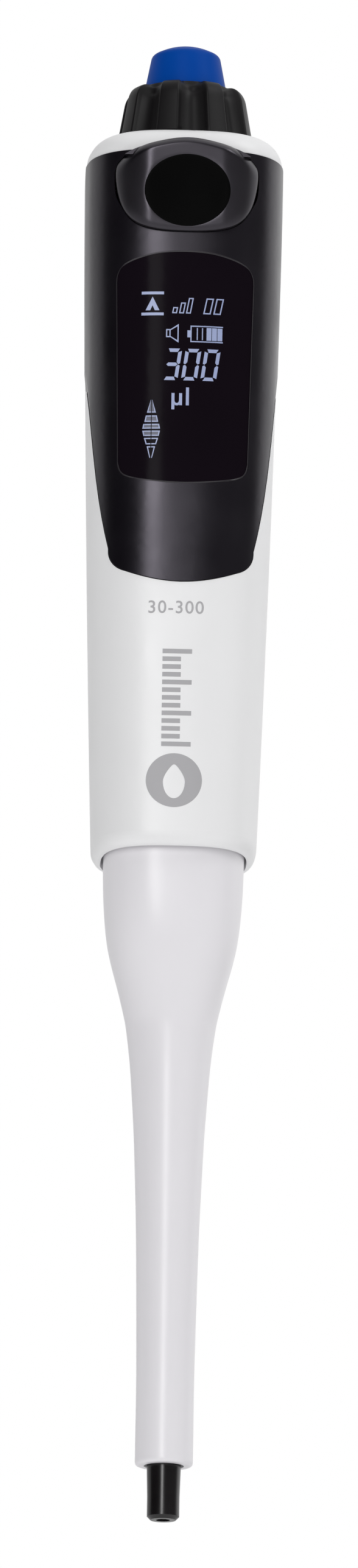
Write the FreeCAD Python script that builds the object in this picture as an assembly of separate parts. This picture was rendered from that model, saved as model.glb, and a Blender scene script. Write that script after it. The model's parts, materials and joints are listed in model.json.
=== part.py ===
import FreeCAD, Part
import math
import os

# Electronic micropipette, 30 to 300 microlitres.  Millimetres.
# +Z runs up the pipette axis from the tip cone to the push button, the display faces -Y, +X is to
# the right of someone who looks at the display, and the origin is the centre of the cone's open end.

V = FreeCAD.Vector
X_AXIS = V(1, 0, 0)
Y_AXIS = V(0, 1, 0)
Z_AXIS = V(0, 0, 1)

# ---- driving dimensions -------------------------------------------------------------------------
GRIP_BOTTOM = 115.4        # lower edge of the hand grip
GRIP_TOP = 243.5           # flat top of the hand grip
GRIP_HALF_WIDTH = 17.1     # widest half width, at the shoulder
GRIP_TAPER = 2.8           # how much the half width loses down to TAPER_END
SHOULDER_Z = 236.0         # the grip narrows downwards from here
TAPER_END = 117.0
TAPER_POWER = 1.42
GRIP_FRONT = 16.5          # depth in front of the pipette axis
GRIP_BACK = 19.0           # depth behind the axis at the shoulder
BACK_TAPER = 2.5
SEAM_Y = 1.0               # the widest plane, where cover and housing meet at the sides
FRONT_POWER = 2.9          # superellipse powers: a flat front, a rounder back
BACK_POWER = 2.4
WALL = 1.6
TOP_WALL = 2.0
SHOULDER_RADIUS = 4.2
LIP_RADIUS = 2.4

COVER_PROUD = 0.2          # the front cover stands proud of the housing by this
COVER_TOP = 239.0
COVER_CORNER = 4.0
SEAM_GAP = 0.12            # visible joint between two shells
COVER_BOTTOM = 161.9

WINDOW_GAP = 0.1
WINDOW_SINK = 0.1
WINDOW_THICK = 0.9
WINDOW_LEDGE = 1.5

TRIGGER_PIVOT_Y = -12.1
TRIGGER_PIVOT_Z = 226.6
TRIGGER_PIN_R = 0.75
RUNNING = 0.05             # radial clearance of a running fit
TRIGGER_GAP = 0.38

DIAL_BOTTOM = 243.9
DIAL_TOP = 253.7
DIAL_BASE_R = 12.0
DIAL_TOP_R = 10.3
DIAL_EDGE_R = 2.3
DIAL_LOBES = 8
DIAL_FIRST_LOBE = -17.5    # degrees from the front, towards +X
DIAL_WELL_R = 7.6
DIAL_HUB_R = 8.3
DIAL_WEB_TOP = 242.0
DIAL_WEB_BOTTOM = 240.5
ROTOR_OUT_R = 4.8
ROTOR_IN_R = 3.4
ENCODER_R = 8.3
ENCODER_BOTTOM = 226.0
ENCODER_TOP = 239.0

BUTTON_BASE_R = 7.3
BUTTON_TOP_R = 6.1
BUTTON_BOTTOM = 249.5
BUTTON_TAPER_Z = 253.0
BUTTON_EDGE = (0.8, 0.35)   # how far the rounded edge reaches in, and its bow
DOME_R = 10.8
BUTTON_TOP = 261.7
BUTTON_CEILING = 258.0
STEM_R = 2.0
GUIDE_IN_R = 2.1
GUIDE_OUT_R = 3.3
GUIDE_TOP = 243.5
ROD_R = 1.5
ROD_Y = 12.2

SLEEVE_BOTTOM = 9.4
SLEEVE_NECK = 86.5         # the round nose ends here and the shoulder starts
SLEEVE_TOP = 122.0
SLEEVE_WALL = 1.1
SLEEVE_MOUTH_R = 3.3
# nose: height, radius
NOSE_PROFILE = [(9.4, 5.0), (25, 5.0), (41, 5.25), (52, 5.5), (62.7, 5.9), (68, 6.15), (73.4, 6.5),
                (78.8, 6.9), (82.6, 7.3), (86.5, 7.75)]
# shoulder: height, half width
SHOULDER_PROFILE = [(86.5, 7.7), (88.6, 8.25), (92.9, 9.3), (98, 10.65), (101.9, 11.4), (107, 11.9),
                    (113, 12.15), (122, 12.2)]
SLEEVE_FRONT = 13.9

CONE_END_R = 2.8
CONE_SEAL = (0.6, 4.1)     # the cylindrical band that a tip seals on
CONE_TOP_R = 2.95
CONE_BORE_R = 1.2
CONE_SHOULDER = 20.0
SPIGOT_TOP = 26.0
SPIGOT_R = 2.86

BARREL_R = 3.7             # the measuring cylinder
BARREL_BORE_R = 2.9
BARREL_HEAD_R = 4.95
BARREL_TOP = 90.0
PISTON_R = 2.5
PISTON_BOTTOM = 30.0
SCREW_R = 1.5
SCREW_BOTTOM = 104.8
FRAME_TOP = 135.0
MOTOR_R = 9.5
MOTOR_BOTTOM = 139.0
MOTOR_TOP = 161.0

BOARD_FRONT = -11.0
BOARD_THICK = 1.2
RAIL_IN = 11.0
RAIL_OUT = 12.6

FRONT_FAR = -30.0          # beyond the object in front and to the side, for cutting
SIDE_FAR = 25.0
LIP_INSET = 1.5
COVER_REACH = 19.5
WINDOW_HALF_TOP = 11.95
WINDOW_HALF_BOTTOM = 11.3
BEARING_R = 9.6

HOOK_TOP = 236.0
HOOK_FOOT = 214.0
HOOK_REACH = 23.0
HOOK_HALF = 8.0
HOOK_SCREW_Z = (219.0, 231.0)
HOOK_SCREW_R = 1.0
REAR_SCREW_X = (-8.5, 8.5)
REAR_SCREW_Z = 147.0
REAR_SCREW_R = 1.1
REAR_HEAD_R = 2.0
CONTACT_X = (-4.5, 4.5)
CONTACT_Z = 196.0
CONTACT_R = 2.0
CONTACT_BOARD_HALF = 7.0

FLUTE_R = 2.9
FLUTE_DEPTH = 1.8
GUIDE_FOOT = 222.5
BRIDGE_TOP = 218.0
BRIDGE_BOTTOM = 213.0

TRIGGER_PLUG_TOP = 238.0   # the part that enters the cover ends here, below the overhanging lip
TRIGGER_MID_Z = 232.0
TRIGGER_LIP_Y = 20.2
TRIGGER_LIP_Z = 239.6
TRIGGER_BACK = -13.6
TRIGGER_LIP_GAP = 1.3
DISH_R = 16.0
DISH_DEPTH = 2.6
DISH_Z = 232.2
EAR_INNER = 6.6
EAR_OUTER = 8.6
SWITCH_Z = 235.0
SWITCH_FACE = -12.9
SWITCH_STROKE = 0.85

BOARD_POST_X = (-9.0, 9.0)
BOARD_POST_Z = (171.5, 220.4)
BOARD_SCREW_R = 0.8
LCD_FRONT = -13.6
LCD_THICK = 1.3
BATTERY_FRONT = 1.5
RAIL_FRONT = -10.0
RAIL_BACK = 9.0

MOTOR_SCREW_X = (-7.8, 7.8)
MOTOR_SCREW_R = 0.9
CARRIER_R = 6.0
KEY_REACH = 7.1
SEAL_R = 3.9
SEAL_SEAT = 86.0

# ---- helpers ------------------------------------------------------------------------------------
def cylinder(radius, z0, z1, x=0.0, y=0.0):
    return Part.makeCylinder(radius, z1 - z0, V(x, y, z0), Z_AXIS)


def tube(outer, inner, z0, z1, x=0.0, y=0.0):
    return cylinder(outer, z0, z1, x, y).cut(cylinder(inner, z0 - 1, z1 + 1, x, y))


def rod_x(radius, x0, x1, y, z):
    return Part.makeCylinder(radius, x1 - x0, V(x0, y, z), X_AXIS)


def rod_y(radius, y0, y1, x, z):
    return Part.makeCylinder(radius, y1 - y0, V(x, y0, z), Y_AXIS)


def box(x0, x1, y0, y1, z0, z1):
    return Part.makeBox(x1 - x0, y1 - y0, z1 - z0, V(x0, y0, z0))


def fuse_all(shapes):
    result = shapes[0]
    for shape in shapes[1:]:
        result = result.fuse(shape)
    return result.removeSplitter()


def cut_all(shape, tools):
    for tool in tools:
        shape = shape.cut(tool)
    return shape


def spun(points):
    """Solid of revolution about Z from (radius, z) corners."""
    corners = [V(r, 0, z) for r, z in points]
    face = Part.Face(Part.makePolygon(corners + [corners[0]]))
    return face.revolve(V(0, 0, 0), Z_AXIS, 360)


def smooth_spun(profile, z_floor, z_roof):
    """Solid of revolution whose side is one smooth curve through (z, radius) points."""
    curve = Part.BSplineCurve()
    curve.interpolate([V(r, 0, z) for z, r in profile])
    side = curve.toShape()
    roof = Part.makePolygon([V(profile[-1][1], 0, z_roof), V(0, 0, z_roof), V(0, 0, z_floor),
                             V(profile[0][1], 0, z_floor)])
    wire = Part.Wire([side] + roof.Edges)
    return Part.Face(wire).revolve(V(0, 0, 0), Z_AXIS, 360)


def oval(half_width, front, back, centre_y, z, front_power, back_power, points=20):
    """Closed superellipse in two smooth edges; its front and back have their own depth and power."""
    edges = []
    for side, depth, power in ((-1, front, front_power), (1, back, back_power)):
        ring = []
        for i in range(points + 1):
            angle = math.pi * i / points
            c, s = math.cos(angle), math.sin(angle)
            x = half_width * math.copysign(abs(c) ** (2 / power), c)
            y = side * depth * abs(s) ** (2 / power)
            ring.append(V(x, centre_y + y, z))
        curve = Part.BSplineCurve()
        curve.interpolate(Points=ring, InitialTangent=V(0, side, 0), FinalTangent=V(0, -side, 0))
        edges.append(curve.toShape())
    return Part.Wire(Part.__sortEdges__(edges))


def prism(outline, y0, y1):
    """A flat outline in XZ, drawn at y = 0, pulled from y0 to y1."""
    face = Part.Face(outline)
    face.translate(V(0, y0, 0))
    return face.extrude(V(0, y1 - y0, 0))


def arc(a, b, c):
    return Part.Arc(V(a[0], 0, a[1]), V(b[0], 0, b[1]), V(c[0], 0, c[1])).toShape()


def line(a, b):
    return Part.LineSegment(V(a[0], 0, a[1]), V(b[0], 0, b[1])).toShape()


def grown(outline, amount):
    """The same outline, offset outwards in its plane."""
    if not amount:
        return outline
    return Part.Face(outline).makeOffset2D(amount).Wires[0]


def coil(radius, wire, z0, z1, turns):
    """A compression spring of eight-sided wire that stands on z0 along +Z at the origin."""
    height = z1 - z0 - wire
    helix = Part.makeHelix(height / turns, height, radius)
    corners = [math.radians(22.5 + 45 * i) for i in range(9)]
    section = [V(radius + wire / 2 * math.cos(a), 0, wire / 2 * math.sin(a)) for a in corners]
    section = Part.makePolygon(section)
    spring = Part.Wire(helix.Edges).makePipeShell([section], True, True)
    spring.translate(V(0, 0, z0 + wire / 2))
    return spring


def screw(head_r, head_h, shank_r, length, base, direction):
    """Pan-head screw: the head stands on base, the shank runs from base along direction."""
    shank = Part.makeCylinder(shank_r, length, base, direction)
    head = Part.makeCylinder(head_r, head_h, base, direction * -1)
    slot_depth = 0.45 * head_h
    recess = Part.makeCylinder(0.45 * head_r, slot_depth, base - direction * head_h, direction)
    return shank.fuse(head).cut(recess)


# ---- hand grip ----------------------------------------------------------------------------------
def taper(z):
    return (max(SHOULDER_Z - z, 0.0) / (SHOULDER_Z - TAPER_END)) ** TAPER_POWER


def grip_back(z, x=0.0):
    """Where the housing's back surface is."""
    half_width = GRIP_HALF_WIDTH - GRIP_TAPER * taper(z)
    depth = GRIP_BACK - BACK_TAPER * taper(z) - SEAM_Y
    return SEAM_Y + depth * (1 - (abs(x) / half_width) ** BACK_POWER) ** (1 / BACK_POWER)


def rear_seat():
    return grip_back(REAR_SCREW_Z, REAR_SCREW_X[1]) - 1.0


def grip_section(z, inset):
    half_width = GRIP_HALF_WIDTH - GRIP_TAPER * taper(z) - inset
    front = GRIP_FRONT + SEAM_Y - inset
    back = GRIP_BACK - BACK_TAPER * taper(z) - SEAM_Y - inset
    return oval(half_width, front, back, SEAM_Y, z, FRONT_POWER, BACK_POWER)


def grip_solid(inset, z0, z1, steps=8):
    """The grip's outer form, or a form set inside it by inset."""
    heights = [z0 + (z1 - z0) * i / steps for i in range(steps + 1)]
    return Part.makeLoft([grip_section(z, inset) for z in heights], True, False)


def rounded_end(z_flat, z_end, inset, steps=5):
    """A quarter-round that closes the grip in from z_flat to z_end by inset."""
    sections = []
    for i in range(steps + 1):
        angle = math.pi / 2 * i / steps
        height = z_flat + (z_end - z_flat) * math.sin(angle)
        sections.append(grip_section(height, inset * (1 - math.cos(angle))))
    return Part.makeLoft(sections, True, False)


def cover_outline(grow):
    """Front outline of the cover, larger by grow.  Above the shoulder it runs wider than the grip."""
    reach, top, foot = COVER_REACH + grow, COVER_TOP + grow, 164.0 - grow
    half = [(12.5, 168.2), (14.3, 178.0), (15.8, 192.0), (17.2, 205.5), (COVER_REACH, 218.0)]
    edges = [arc((-9.8, foot), (0, COVER_BOTTOM - grow), (9.8, foot)), line((reach, top), (-reach, top))]
    for side in (1, -1):
        flank = Part.BSplineCurve()
        flank.interpolate([V(side * (x + grow), 0, z) for x, z in half])
        corner = side * (11.75 + 0.7 * grow), 165.45 - 0.7 * grow
        edges += [flank.toShape(), arc((side * 9.8, foot), corner, (side * (12.5 + grow), 168.2)),
                  line((side * reach, 218.0), (side * reach, top))]
    return Part.Wire(Part.__sortEdges__(edges))


def cover_region(gap):
    """Everything in front of the seam and inside the cover's outline, larger by gap."""
    front = prism(cover_outline(gap), FRONT_FAR, SEAM_Y + gap)
    radius, top, seam = COVER_CORNER + gap, COVER_TOP + gap, SEAM_Y + gap
    side, low = -SIDE_FAR, COVER_BOTTOM - 10
    cut_in = radius * (1 - math.sqrt(0.5))
    corner = [V(side, seam, top - radius), V(side, seam - cut_in, top - cut_in),
              V(side, seam - radius, top)]
    rest = [corner[2], V(side, FRONT_FAR, top), V(side, FRONT_FAR, low), V(side, seam, low), corner[0]]
    wire = Part.Wire([Part.Arc(*corner).toShape()] + Part.makePolygon(rest).Edges)
    return front.common(Part.Face(wire).extrude(V(2 * SIDE_FAR, 0, 0)))


def window_outline():
    """Rounded oblong, bowed at both ends and a little narrower at the foot."""
    top, bottom = WINDOW_HALF_TOP, WINDOW_HALF_BOTTOM
    edges = [arc((-8.6, 219.4), (0, 220.7), (8.6, 219.4)), arc((8.3, 180.35), (0, 179.45), (-8.3, 180.35))]
    for side in (1, -1):
        edges += [arc((side * 8.6, 219.4), (side * 10.95, 218.25), (side * top, 215.8)),
                  line((side * top, 215.8), (side * bottom, 183.0)),
                  arc((side * bottom, 183.0), (side * 10.4, 181.1), (side * 8.3, 180.35))]
    return Part.Wire(Part.__sortEdges__(edges))


def trigger_outline(grow=0.0):
    """Shield shape: a bowed top, the widest line below it, and sides that close to a round foot."""
    half = [(0, 224.4), (5.8, 224.8), (9.2, 226.4), (11.3, 229.6), (12.2, 234.6), (11.4, 237.1),
            (7.4, 239.3), (0, 240.7)]
    widest = 4
    factor = 1 + grow / half[widest][0]

    def sized(points, side):
        return [V(side * x * factor, 0, TRIGGER_MID_Z + (z - TRIGGER_MID_Z) * factor) for x, z in points]

    edges = []
    for side in (1, -1):
        foot = Part.BSplineCurve()
        foot.interpolate(sized(half[:widest + 1], side), InitialTangent=V(side, 0, 0), FinalTangent=Z_AXIS)
        head = Part.BSplineCurve()
        head.interpolate(sized(half[widest:], side), InitialTangent=Z_AXIS, FinalTangent=V(-side, 0, 0))
        edges += [foot.toShape(), head.toShape()]
    return Part.Wire(Part.__sortEdges__(edges))


def housing():
    flat_top, flat_bottom = GRIP_TOP - SHOULDER_RADIUS, GRIP_BOTTOM + LIP_RADIUS
    outer = fuse_all([grip_solid(0, flat_bottom, flat_top),
                      rounded_end(flat_top, GRIP_TOP, SHOULDER_RADIUS),
                      rounded_end(flat_bottom, GRIP_BOTTOM, LIP_INSET)])
    shell = outer.cut(grip_solid(WALL, GRIP_BOTTOM - 2, GRIP_TOP - TOP_WALL))
    shell = shell.cut(cover_region(SEAM_GAP))
    holes = [cylinder(BEARING_R, GRIP_TOP - TOP_WALL - 1, GRIP_TOP + 1)]
    holes += [rod_y(HOOK_SCREW_R + 0.05, 10, 24, 0, z) for z in HOOK_SCREW_Z]
    holes += [rod_y(REAR_SCREW_R + 0.05, 10, 24, x, REAR_SCREW_Z) for x in REAR_SCREW_X]
    holes += [rod_y(REAR_HEAD_R + 0.1, grip_back(REAR_SCREW_Z, x) - 1.0, 24, x, REAR_SCREW_Z)
              for x in REAR_SCREW_X]
    holes += [rod_y(CONTACT_R, 10, 24, x, CONTACT_Z) for x in CONTACT_X]
    return cut_all(shell, holes)


def front_cover():
    shell = grip_solid(-COVER_PROUD, COVER_BOTTOM - 5, COVER_TOP + 2)
    shell = shell.cut(grip_solid(WALL, COVER_BOTTOM - 6, COVER_TOP + 3)).common(cover_region(0))
    seat = grip_solid(-1, 175, 225).cut(grip_solid(WINDOW_THICK, 174, 226))
    seat = seat.common(prism(grown(window_outline(), WINDOW_GAP), FRONT_FAR, 0))
    view_hole = prism(grown(window_outline(), -WINDOW_LEDGE), FRONT_FAR, 0)
    trigger_hole = prism(trigger_outline(TRIGGER_GAP), FRONT_FAR, 0)
    shell = cut_all(shell, [seat, view_hole, trigger_hole])
    inside = grip_solid(WALL / 2, COVER_BOTTOM - 5, COVER_TOP)
    added = []
    for x in BOARD_POST_X:
        for z in BOARD_POST_Z:
            post = rod_y(1.7, -17, BOARD_FRONT, x, z).cut(rod_y(BOARD_SCREW_R, -14.2, BOARD_FRONT, x, z))
            added.append(post.common(inside))
    for side in (-1, 1):
        inner, outer = sorted((side * EAR_INNER, side * EAR_OUTER))
        lug = box(inner, outer, -17, BOARD_FRONT - 0.1, TRIGGER_PIVOT_Z - 4.4, TRIGGER_PIVOT_Z + 1.3)
        path = box(inner, outer, -18, TRIGGER_BACK + 0.3, TRIGGER_PIVOT_Z - 2.6, TRIGGER_PIVOT_Z + 3)
        added.append(lug.cut(path).common(inside))
    shell = fuse_all([shell] + added)
    return shell.cut(rod_x(TRIGGER_PIN_R, -EAR_OUTER - 1, EAR_OUTER + 1, TRIGGER_PIVOT_Y, TRIGGER_PIVOT_Z))


def display_window():
    pane = grip_solid(-COVER_PROUD + WINDOW_SINK, 175, 225).cut(grip_solid(WINDOW_THICK - 0.04, 174, 226))
    return pane.common(prism(window_outline(), FRONT_FAR, 0))


def finger_hook():
    """Rest that curls back and down over the index finger, on a pad that fits the housing's back."""
    root = grip_back(HOOK_TOP) - 0.4
    tip_y, tip_z = root + HOOK_REACH, HOOK_TOP - 10.5
    upper = [V(0, root, HOOK_TOP), V(0, root + 10, HOOK_TOP - 0.6), V(0, root + 18, HOOK_TOP - 4),
             V(0, tip_y, tip_z)]
    lower = [V(0, tip_y - 3.6, tip_z - 1.2), V(0, root + 14.5, HOOK_TOP - 7.5),
             V(0, root + 8.5, HOOK_TOP - 6.0),
             V(0, root + 4.0, HOOK_TOP - 9.0), V(0, root + 3.2, HOOK_TOP - 14), V(0, root + 3.0, HOOK_FOOT)]
    top_curve, low_curve = Part.BSplineCurve(), Part.BSplineCurve()
    top_curve.interpolate(upper)
    low_curve.interpolate(lower)
    nose = Part.Arc(upper[-1], V(0, tip_y - 1.5, tip_z - 2.6), lower[0])
    back = Part.makePolygon([lower[-1], V(0, root - 4, HOOK_FOOT), V(0, root - 4, HOOK_TOP), upper[0]])
    edges = [top_curve.toShape(), nose.toShape(), low_curve.toShape()] + back.Edges
    wire = Part.Wire(Part.__sortEdges__(edges))
    face = Part.Face(wire)
    face.translate(V(-HOOK_HALF, 0, 0))
    hook = face.extrude(V(2 * HOOK_HALF, 0, 0))
    plan = [V(-HOOK_HALF, root - 5, 0), V(-HOOK_HALF, root + 12, 0), V(0, root + HOOK_REACH + 0.5, 0),
            V(HOOK_HALF, root + 12, 0), V(HOOK_HALF, root - 5, 0)]
    edges = [Part.LineSegment(plan[0], plan[1]).toShape(), Part.Arc(plan[1], plan[2], plan[3]).toShape(),
             Part.LineSegment(plan[3], plan[4]).toShape(), Part.LineSegment(plan[4], plan[0]).toShape()]
    mask = Part.Face(Part.Wire(edges)).extrude(V(0, 0, HOOK_TOP + 10))
    hook = hook.common(mask).cut(grip_solid(-0.02, HOOK_FOOT - 5, HOOK_TOP + 1))
    for z in HOOK_SCREW_Z:
        hook = hook.cut(rod_y(HOOK_SCREW_R, root - 5, root + 2.0, 0, z))
    return hook


def hook_screws():
    base_y = grip_back(HOOK_SCREW_Z[0]) - WALL - 0.35
    return Part.makeCompound([screw(1.9, 1.1, HOOK_SCREW_R, 3.4, V(0, base_y, z), Y_AXIS)
                              for z in HOOK_SCREW_Z])


def rear_screws():
    base_y = grip_back(REAR_SCREW_Z, REAR_SCREW_X[1]) - 1.0
    length = base_y - RAIL_BACK + 3
    return Part.makeCompound([screw(REAR_HEAD_R, 0.8, REAR_SCREW_R, length, V(x, base_y, REAR_SCREW_Z),
                                    Y_AXIS * -1) for x in REAR_SCREW_X])


def contact_seat():
    return grip_back(CONTACT_Z, CONTACT_BOARD_HALF) - WALL - 0.3


def charge_contacts():
    outer = grip_back(CONTACT_Z, CONTACT_X[1]) - 0.25
    return Part.makeCompound([rod_y(CONTACT_R - 0.02, contact_seat(), outer, x, CONTACT_Z)
                              for x in CONTACT_X])


def contact_board():
    half = CONTACT_BOARD_HALF
    return box(-half, half, contact_seat() - 1.0, contact_seat(), CONTACT_Z - 3, CONTACT_Z + 3)


# ---- dial ---------------------------------------------------------------------------------------
def volume_dial():
    """Fluted ring.  Its well holds the push button, and its hub turns in the bearing below."""
    rise = DIAL_TOP - DIAL_EDGE_R
    slope = (DIAL_BASE_R - DIAL_TOP_R) / (DIAL_TOP - DIAL_BOTTOM)
    r_edge = DIAL_BASE_R - slope * (rise - DIAL_BOTTOM)
    mid = DIAL_EDGE_R * (1 - math.sqrt(0.5))
    edges = [line((DIAL_BASE_R, DIAL_BOTTOM), (r_edge, rise)),
             arc((r_edge, rise), (r_edge - mid - 0.1, DIAL_TOP - mid), (r_edge - DIAL_EDGE_R, DIAL_TOP))]
    corners = [(r_edge - DIAL_EDGE_R, DIAL_TOP), (DIAL_WELL_R, DIAL_TOP), (DIAL_WELL_R, DIAL_WEB_TOP),
               (ROTOR_IN_R, DIAL_WEB_TOP), (ROTOR_IN_R, DIAL_WEB_BOTTOM), (DIAL_HUB_R, DIAL_WEB_BOTTOM),
               (DIAL_HUB_R, DIAL_BOTTOM), (DIAL_BASE_R, DIAL_BOTTOM)]
    edges += [line(a, b) for a, b in zip(corners, corners[1:])]
    ring = Part.Face(Part.Wire(Part.__sortEdges__(edges))).revolve(V(0, 0, 0), Z_AXIS, 360)
    lean = V(-slope, 0, 1)
    flutes = []
    for i in range(DIAL_LOBES):
        flute = Part.makeCylinder(FLUTE_R, 14, V(DIAL_BASE_R - FLUTE_DEPTH + FLUTE_R, 0, DIAL_BOTTOM), lean)
        flute.translate(lean * -2)
        flute.rotate(V(0, 0, 0), Z_AXIS, DIAL_FIRST_LOBE - 90 + 360 / DIAL_LOBES * (i + 0.5))
        flutes.append(flute)
    return cut_all(ring, flutes)


def encoder_rotor():
    sleeve = tube(ROTOR_OUT_R, ROTOR_IN_R, ENCODER_BOTTOM + 1.2, DIAL_WEB_BOTTOM)
    disc = tube(7.2, ROTOR_IN_R, 229.9, 231.1)
    return sleeve.fuse(disc).removeSplitter()


def dial_bearing():
    inner, outer = DIAL_HUB_R + RUNNING, BEARING_R - 0.02
    low, high = DIAL_WEB_BOTTOM + 0.1, GRIP_TOP - 0.05
    return spun([(inner, low), (outer, low), (outer, high), (inner, high)])


def encoder_body():
    """Ring-shaped case around the rotor, with a chamber for the code disc."""
    case = tube(ENCODER_R, ROTOR_OUT_R + RUNNING, ENCODER_BOTTOM, ENCODER_TOP)
    chamber = cylinder(7.6, 229.2, 231.8)
    return case.cut(chamber)


# ---- tip ejector --------------------------------------------------------------------------------
def ejector_button():
    """Tapered cap with a domed top, hollow for the spring, with a boss for the stem."""
    reach, bow = BUTTON_EDGE
    rim = BUTTON_TOP_R - reach

    def dome(r):
        return BUTTON_TOP - DOME_R + math.sqrt(DOME_R ** 2 - r ** 2)

    shoulder_z = dome(rim) - 1.2 * reach
    middle = (BUTTON_TOP_R - reach / 2 + bow / 2, (shoulder_z + dome(rim)) / 2 + bow / 2)
    edges = [line((BUTTON_BASE_R, BUTTON_TAPER_Z), (BUTTON_TOP_R, shoulder_z)),
             arc((BUTTON_TOP_R, shoulder_z), middle, (rim, dome(rim))),
             arc((rim, dome(rim)), (rim / 2, dome(rim / 2)), (0, BUTTON_TOP)),
             line((0, BUTTON_TOP), (0, BUTTON_CEILING)), line((0, BUTTON_CEILING), (STEM_R, BUTTON_CEILING))]
    corners = [(STEM_R, BUTTON_CEILING), (STEM_R, BUTTON_CEILING - 5), (STEM_R + 0.9, BUTTON_CEILING - 5),
               (STEM_R + 0.9, BUTTON_CEILING - 0.4), (BUTTON_TOP_R - 1.1, BUTTON_CEILING - 0.4),
               (BUTTON_BASE_R - 1.1, BUTTON_TAPER_Z), (BUTTON_BASE_R - 1.1, BUTTON_BOTTOM),
               (BUTTON_BASE_R, BUTTON_BOTTOM), (BUTTON_BASE_R, BUTTON_TAPER_Z)]
    edges += [line(a, b) for a, b in zip(corners, corners[1:])]
    return Part.Face(Part.Wire(Part.__sortEdges__(edges))).revolve(V(0, 0, 0), Z_AXIS, 360)


def ejector_spring():
    return coil(3.85, 0.6, GUIDE_TOP, BUTTON_CEILING - 0.4, 6)


def ejector_guide():
    """Fixed tube that the stem slides in; its head carries the spring."""
    foot_r, head_r, head_z = 6.0, 5.2, GUIDE_TOP - 0.9
    return spun([(GUIDE_IN_R, GUIDE_FOOT), (foot_r, GUIDE_FOOT), (foot_r, ENCODER_BOTTOM),
                 (GUIDE_OUT_R, ENCODER_BOTTOM), (GUIDE_OUT_R, head_z), (head_r, head_z), (head_r, GUIDE_TOP),
                 (GUIDE_IN_R, GUIDE_TOP)])


def ejector_stem():
    return cylinder(STEM_R, BRIDGE_TOP - 3, BUTTON_CEILING)


def ejector_bridge():
    """Arm that carries the push from the central stem to the rod behind the motor."""
    arm = box(-3.5, 3.5, 0, ROD_Y, BRIDGE_BOTTOM, BRIDGE_TOP)
    arm = fuse_all([arm, cylinder(3.5, BRIDGE_BOTTOM, BRIDGE_TOP),
                    cylinder(2.6, BRIDGE_BOTTOM, BRIDGE_TOP, 0, ROD_Y)])
    arm = arm.cut(cylinder(STEM_R, BRIDGE_TOP - 3, BRIDGE_TOP + 1))
    return arm.cut(cylinder(ROD_R, BRIDGE_BOTTOM - 1, BRIDGE_TOP - 2, 0, ROD_Y))


def ejector_rod():
    return cylinder(ROD_R, SLEEVE_TOP - 6, BRIDGE_TOP - 2, 0, ROD_Y)


def sleeve_section(z, half_width, inset):
    """The shoulder turns from the round nose into the grip's own oval."""
    low, high = SHOULDER_PROFILE[0][1], SHOULDER_PROFILE[-1][1]
    share = (half_width - low) / (high - low)
    depth = low + share * (SLEEVE_FRONT - low)
    front_power = 2 + share * (FRONT_POWER - 2)
    back_power = 2 + share * (BACK_POWER - 2)
    return oval(half_width - inset, depth - inset, depth - inset, 0, z, front_power, back_power)


def shoulder(inset):
    return Part.makeLoft([sleeve_section(z, a, inset) for z, a in SHOULDER_PROFILE], True, False)


def ejector_sleeve():
    nose = smooth_spun(NOSE_PROFILE, SLEEVE_BOTTOM, SLEEVE_NECK)
    lip = [e for e in nose.Edges if abs(e.BoundBox.ZMax - SLEEVE_BOTTOM) < 0.01 and e.Length > 30]
    outside = nose.makeFillet(0.7, lip).fuse(shoulder(0))
    inner_profile = [(z, r - SLEEVE_WALL) for z, r in NOSE_PROFILE[1:]]
    tapered = smooth_spun(inner_profile, NOSE_PROFILE[1][0], SLEEVE_NECK)
    straight = cylinder(NOSE_PROFILE[1][1] - SLEEVE_WALL, 12.5, NOSE_PROFILE[1][0])
    mouth = cylinder(SLEEVE_MOUTH_R, SLEEVE_BOTTOM - 1, 12.5)
    inside = tapered.fuse(straight).fuse(mouth).fuse(shoulder(SLEEVE_WALL))
    lug = box(-2.8, 2.8, 9.9, SLEEVE_FRONT - 0.5, SLEEVE_TOP - 7, SLEEVE_TOP).common(shoulder(0.3))
    sleeve = outside.cut(inside).fuse(lug).removeSplitter()
    return sleeve.cut(cylinder(ROD_R, SLEEVE_TOP - 6, SLEEVE_TOP + 1, 0, ROD_Y))


# ---- trigger ------------------------------------------------------------------------------------
def trigger_button():
    """Thumb button.  A bowed lip overhangs the cover at the top, and the dished face falls to the foot."""
    side, foot = 14, 223.5
    lip_back = -GRIP_FRONT - COVER_PROUD - TRIGGER_LIP_GAP
    lip_top = TRIGGER_LIP_Z + 1.4
    lip, heel = V(-side, -TRIGGER_LIP_Y, TRIGGER_LIP_Z), V(-side, -17.0, foot)
    slope = Part.BSplineCurve()
    slope.interpolate([lip, V(-side, -18.3, 231), heel])
    crown = V(-side, lip_back, lip_top)
    nose = Part.Arc(lip, lip + V(0, 0.45, 1.0), crown)
    back = Part.makePolygon([heel, V(-side, TRIGGER_BACK, foot), V(-side, TRIGGER_BACK, TRIGGER_PLUG_TOP),
                             V(-side, lip_back, TRIGGER_PLUG_TOP), crown])
    side_view = Part.Face(Part.Wire(Part.__sortEdges__([slope.toShape(), nose.toShape()] + back.Edges)))
    button = side_view.extrude(V(2 * side, 0, 0)).common(prism(trigger_outline(), FRONT_FAR, 0))
    dish = Part.makeSphere(DISH_R, V(0, -TRIGGER_LIP_Y - DISH_R + DISH_DEPTH, DISH_Z))
    hollow = prism(trigger_outline(-1.4), -15.0, TRIGGER_BACK + 1)
    button = button.cut(dish).cut(hollow)
    ribs = [box(-6.2, 6.2, -15.2, TRIGGER_PIVOT_Y, TRIGGER_PIVOT_Z - 1.0, TRIGGER_PIVOT_Z + 1.0),
            rod_x(1.0, -6.2, 6.2, TRIGGER_PIVOT_Y, TRIGGER_PIVOT_Z),
            rod_y(1.0, -15.2, SWITCH_FACE - SWITCH_STROKE, 0, SWITCH_Z)]
    for rib in ribs:
        button = button.fuse(rib)
    return button.cut(rod_x(TRIGGER_PIN_R + RUNNING, -side, side, TRIGGER_PIVOT_Y, TRIGGER_PIVOT_Z))


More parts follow.
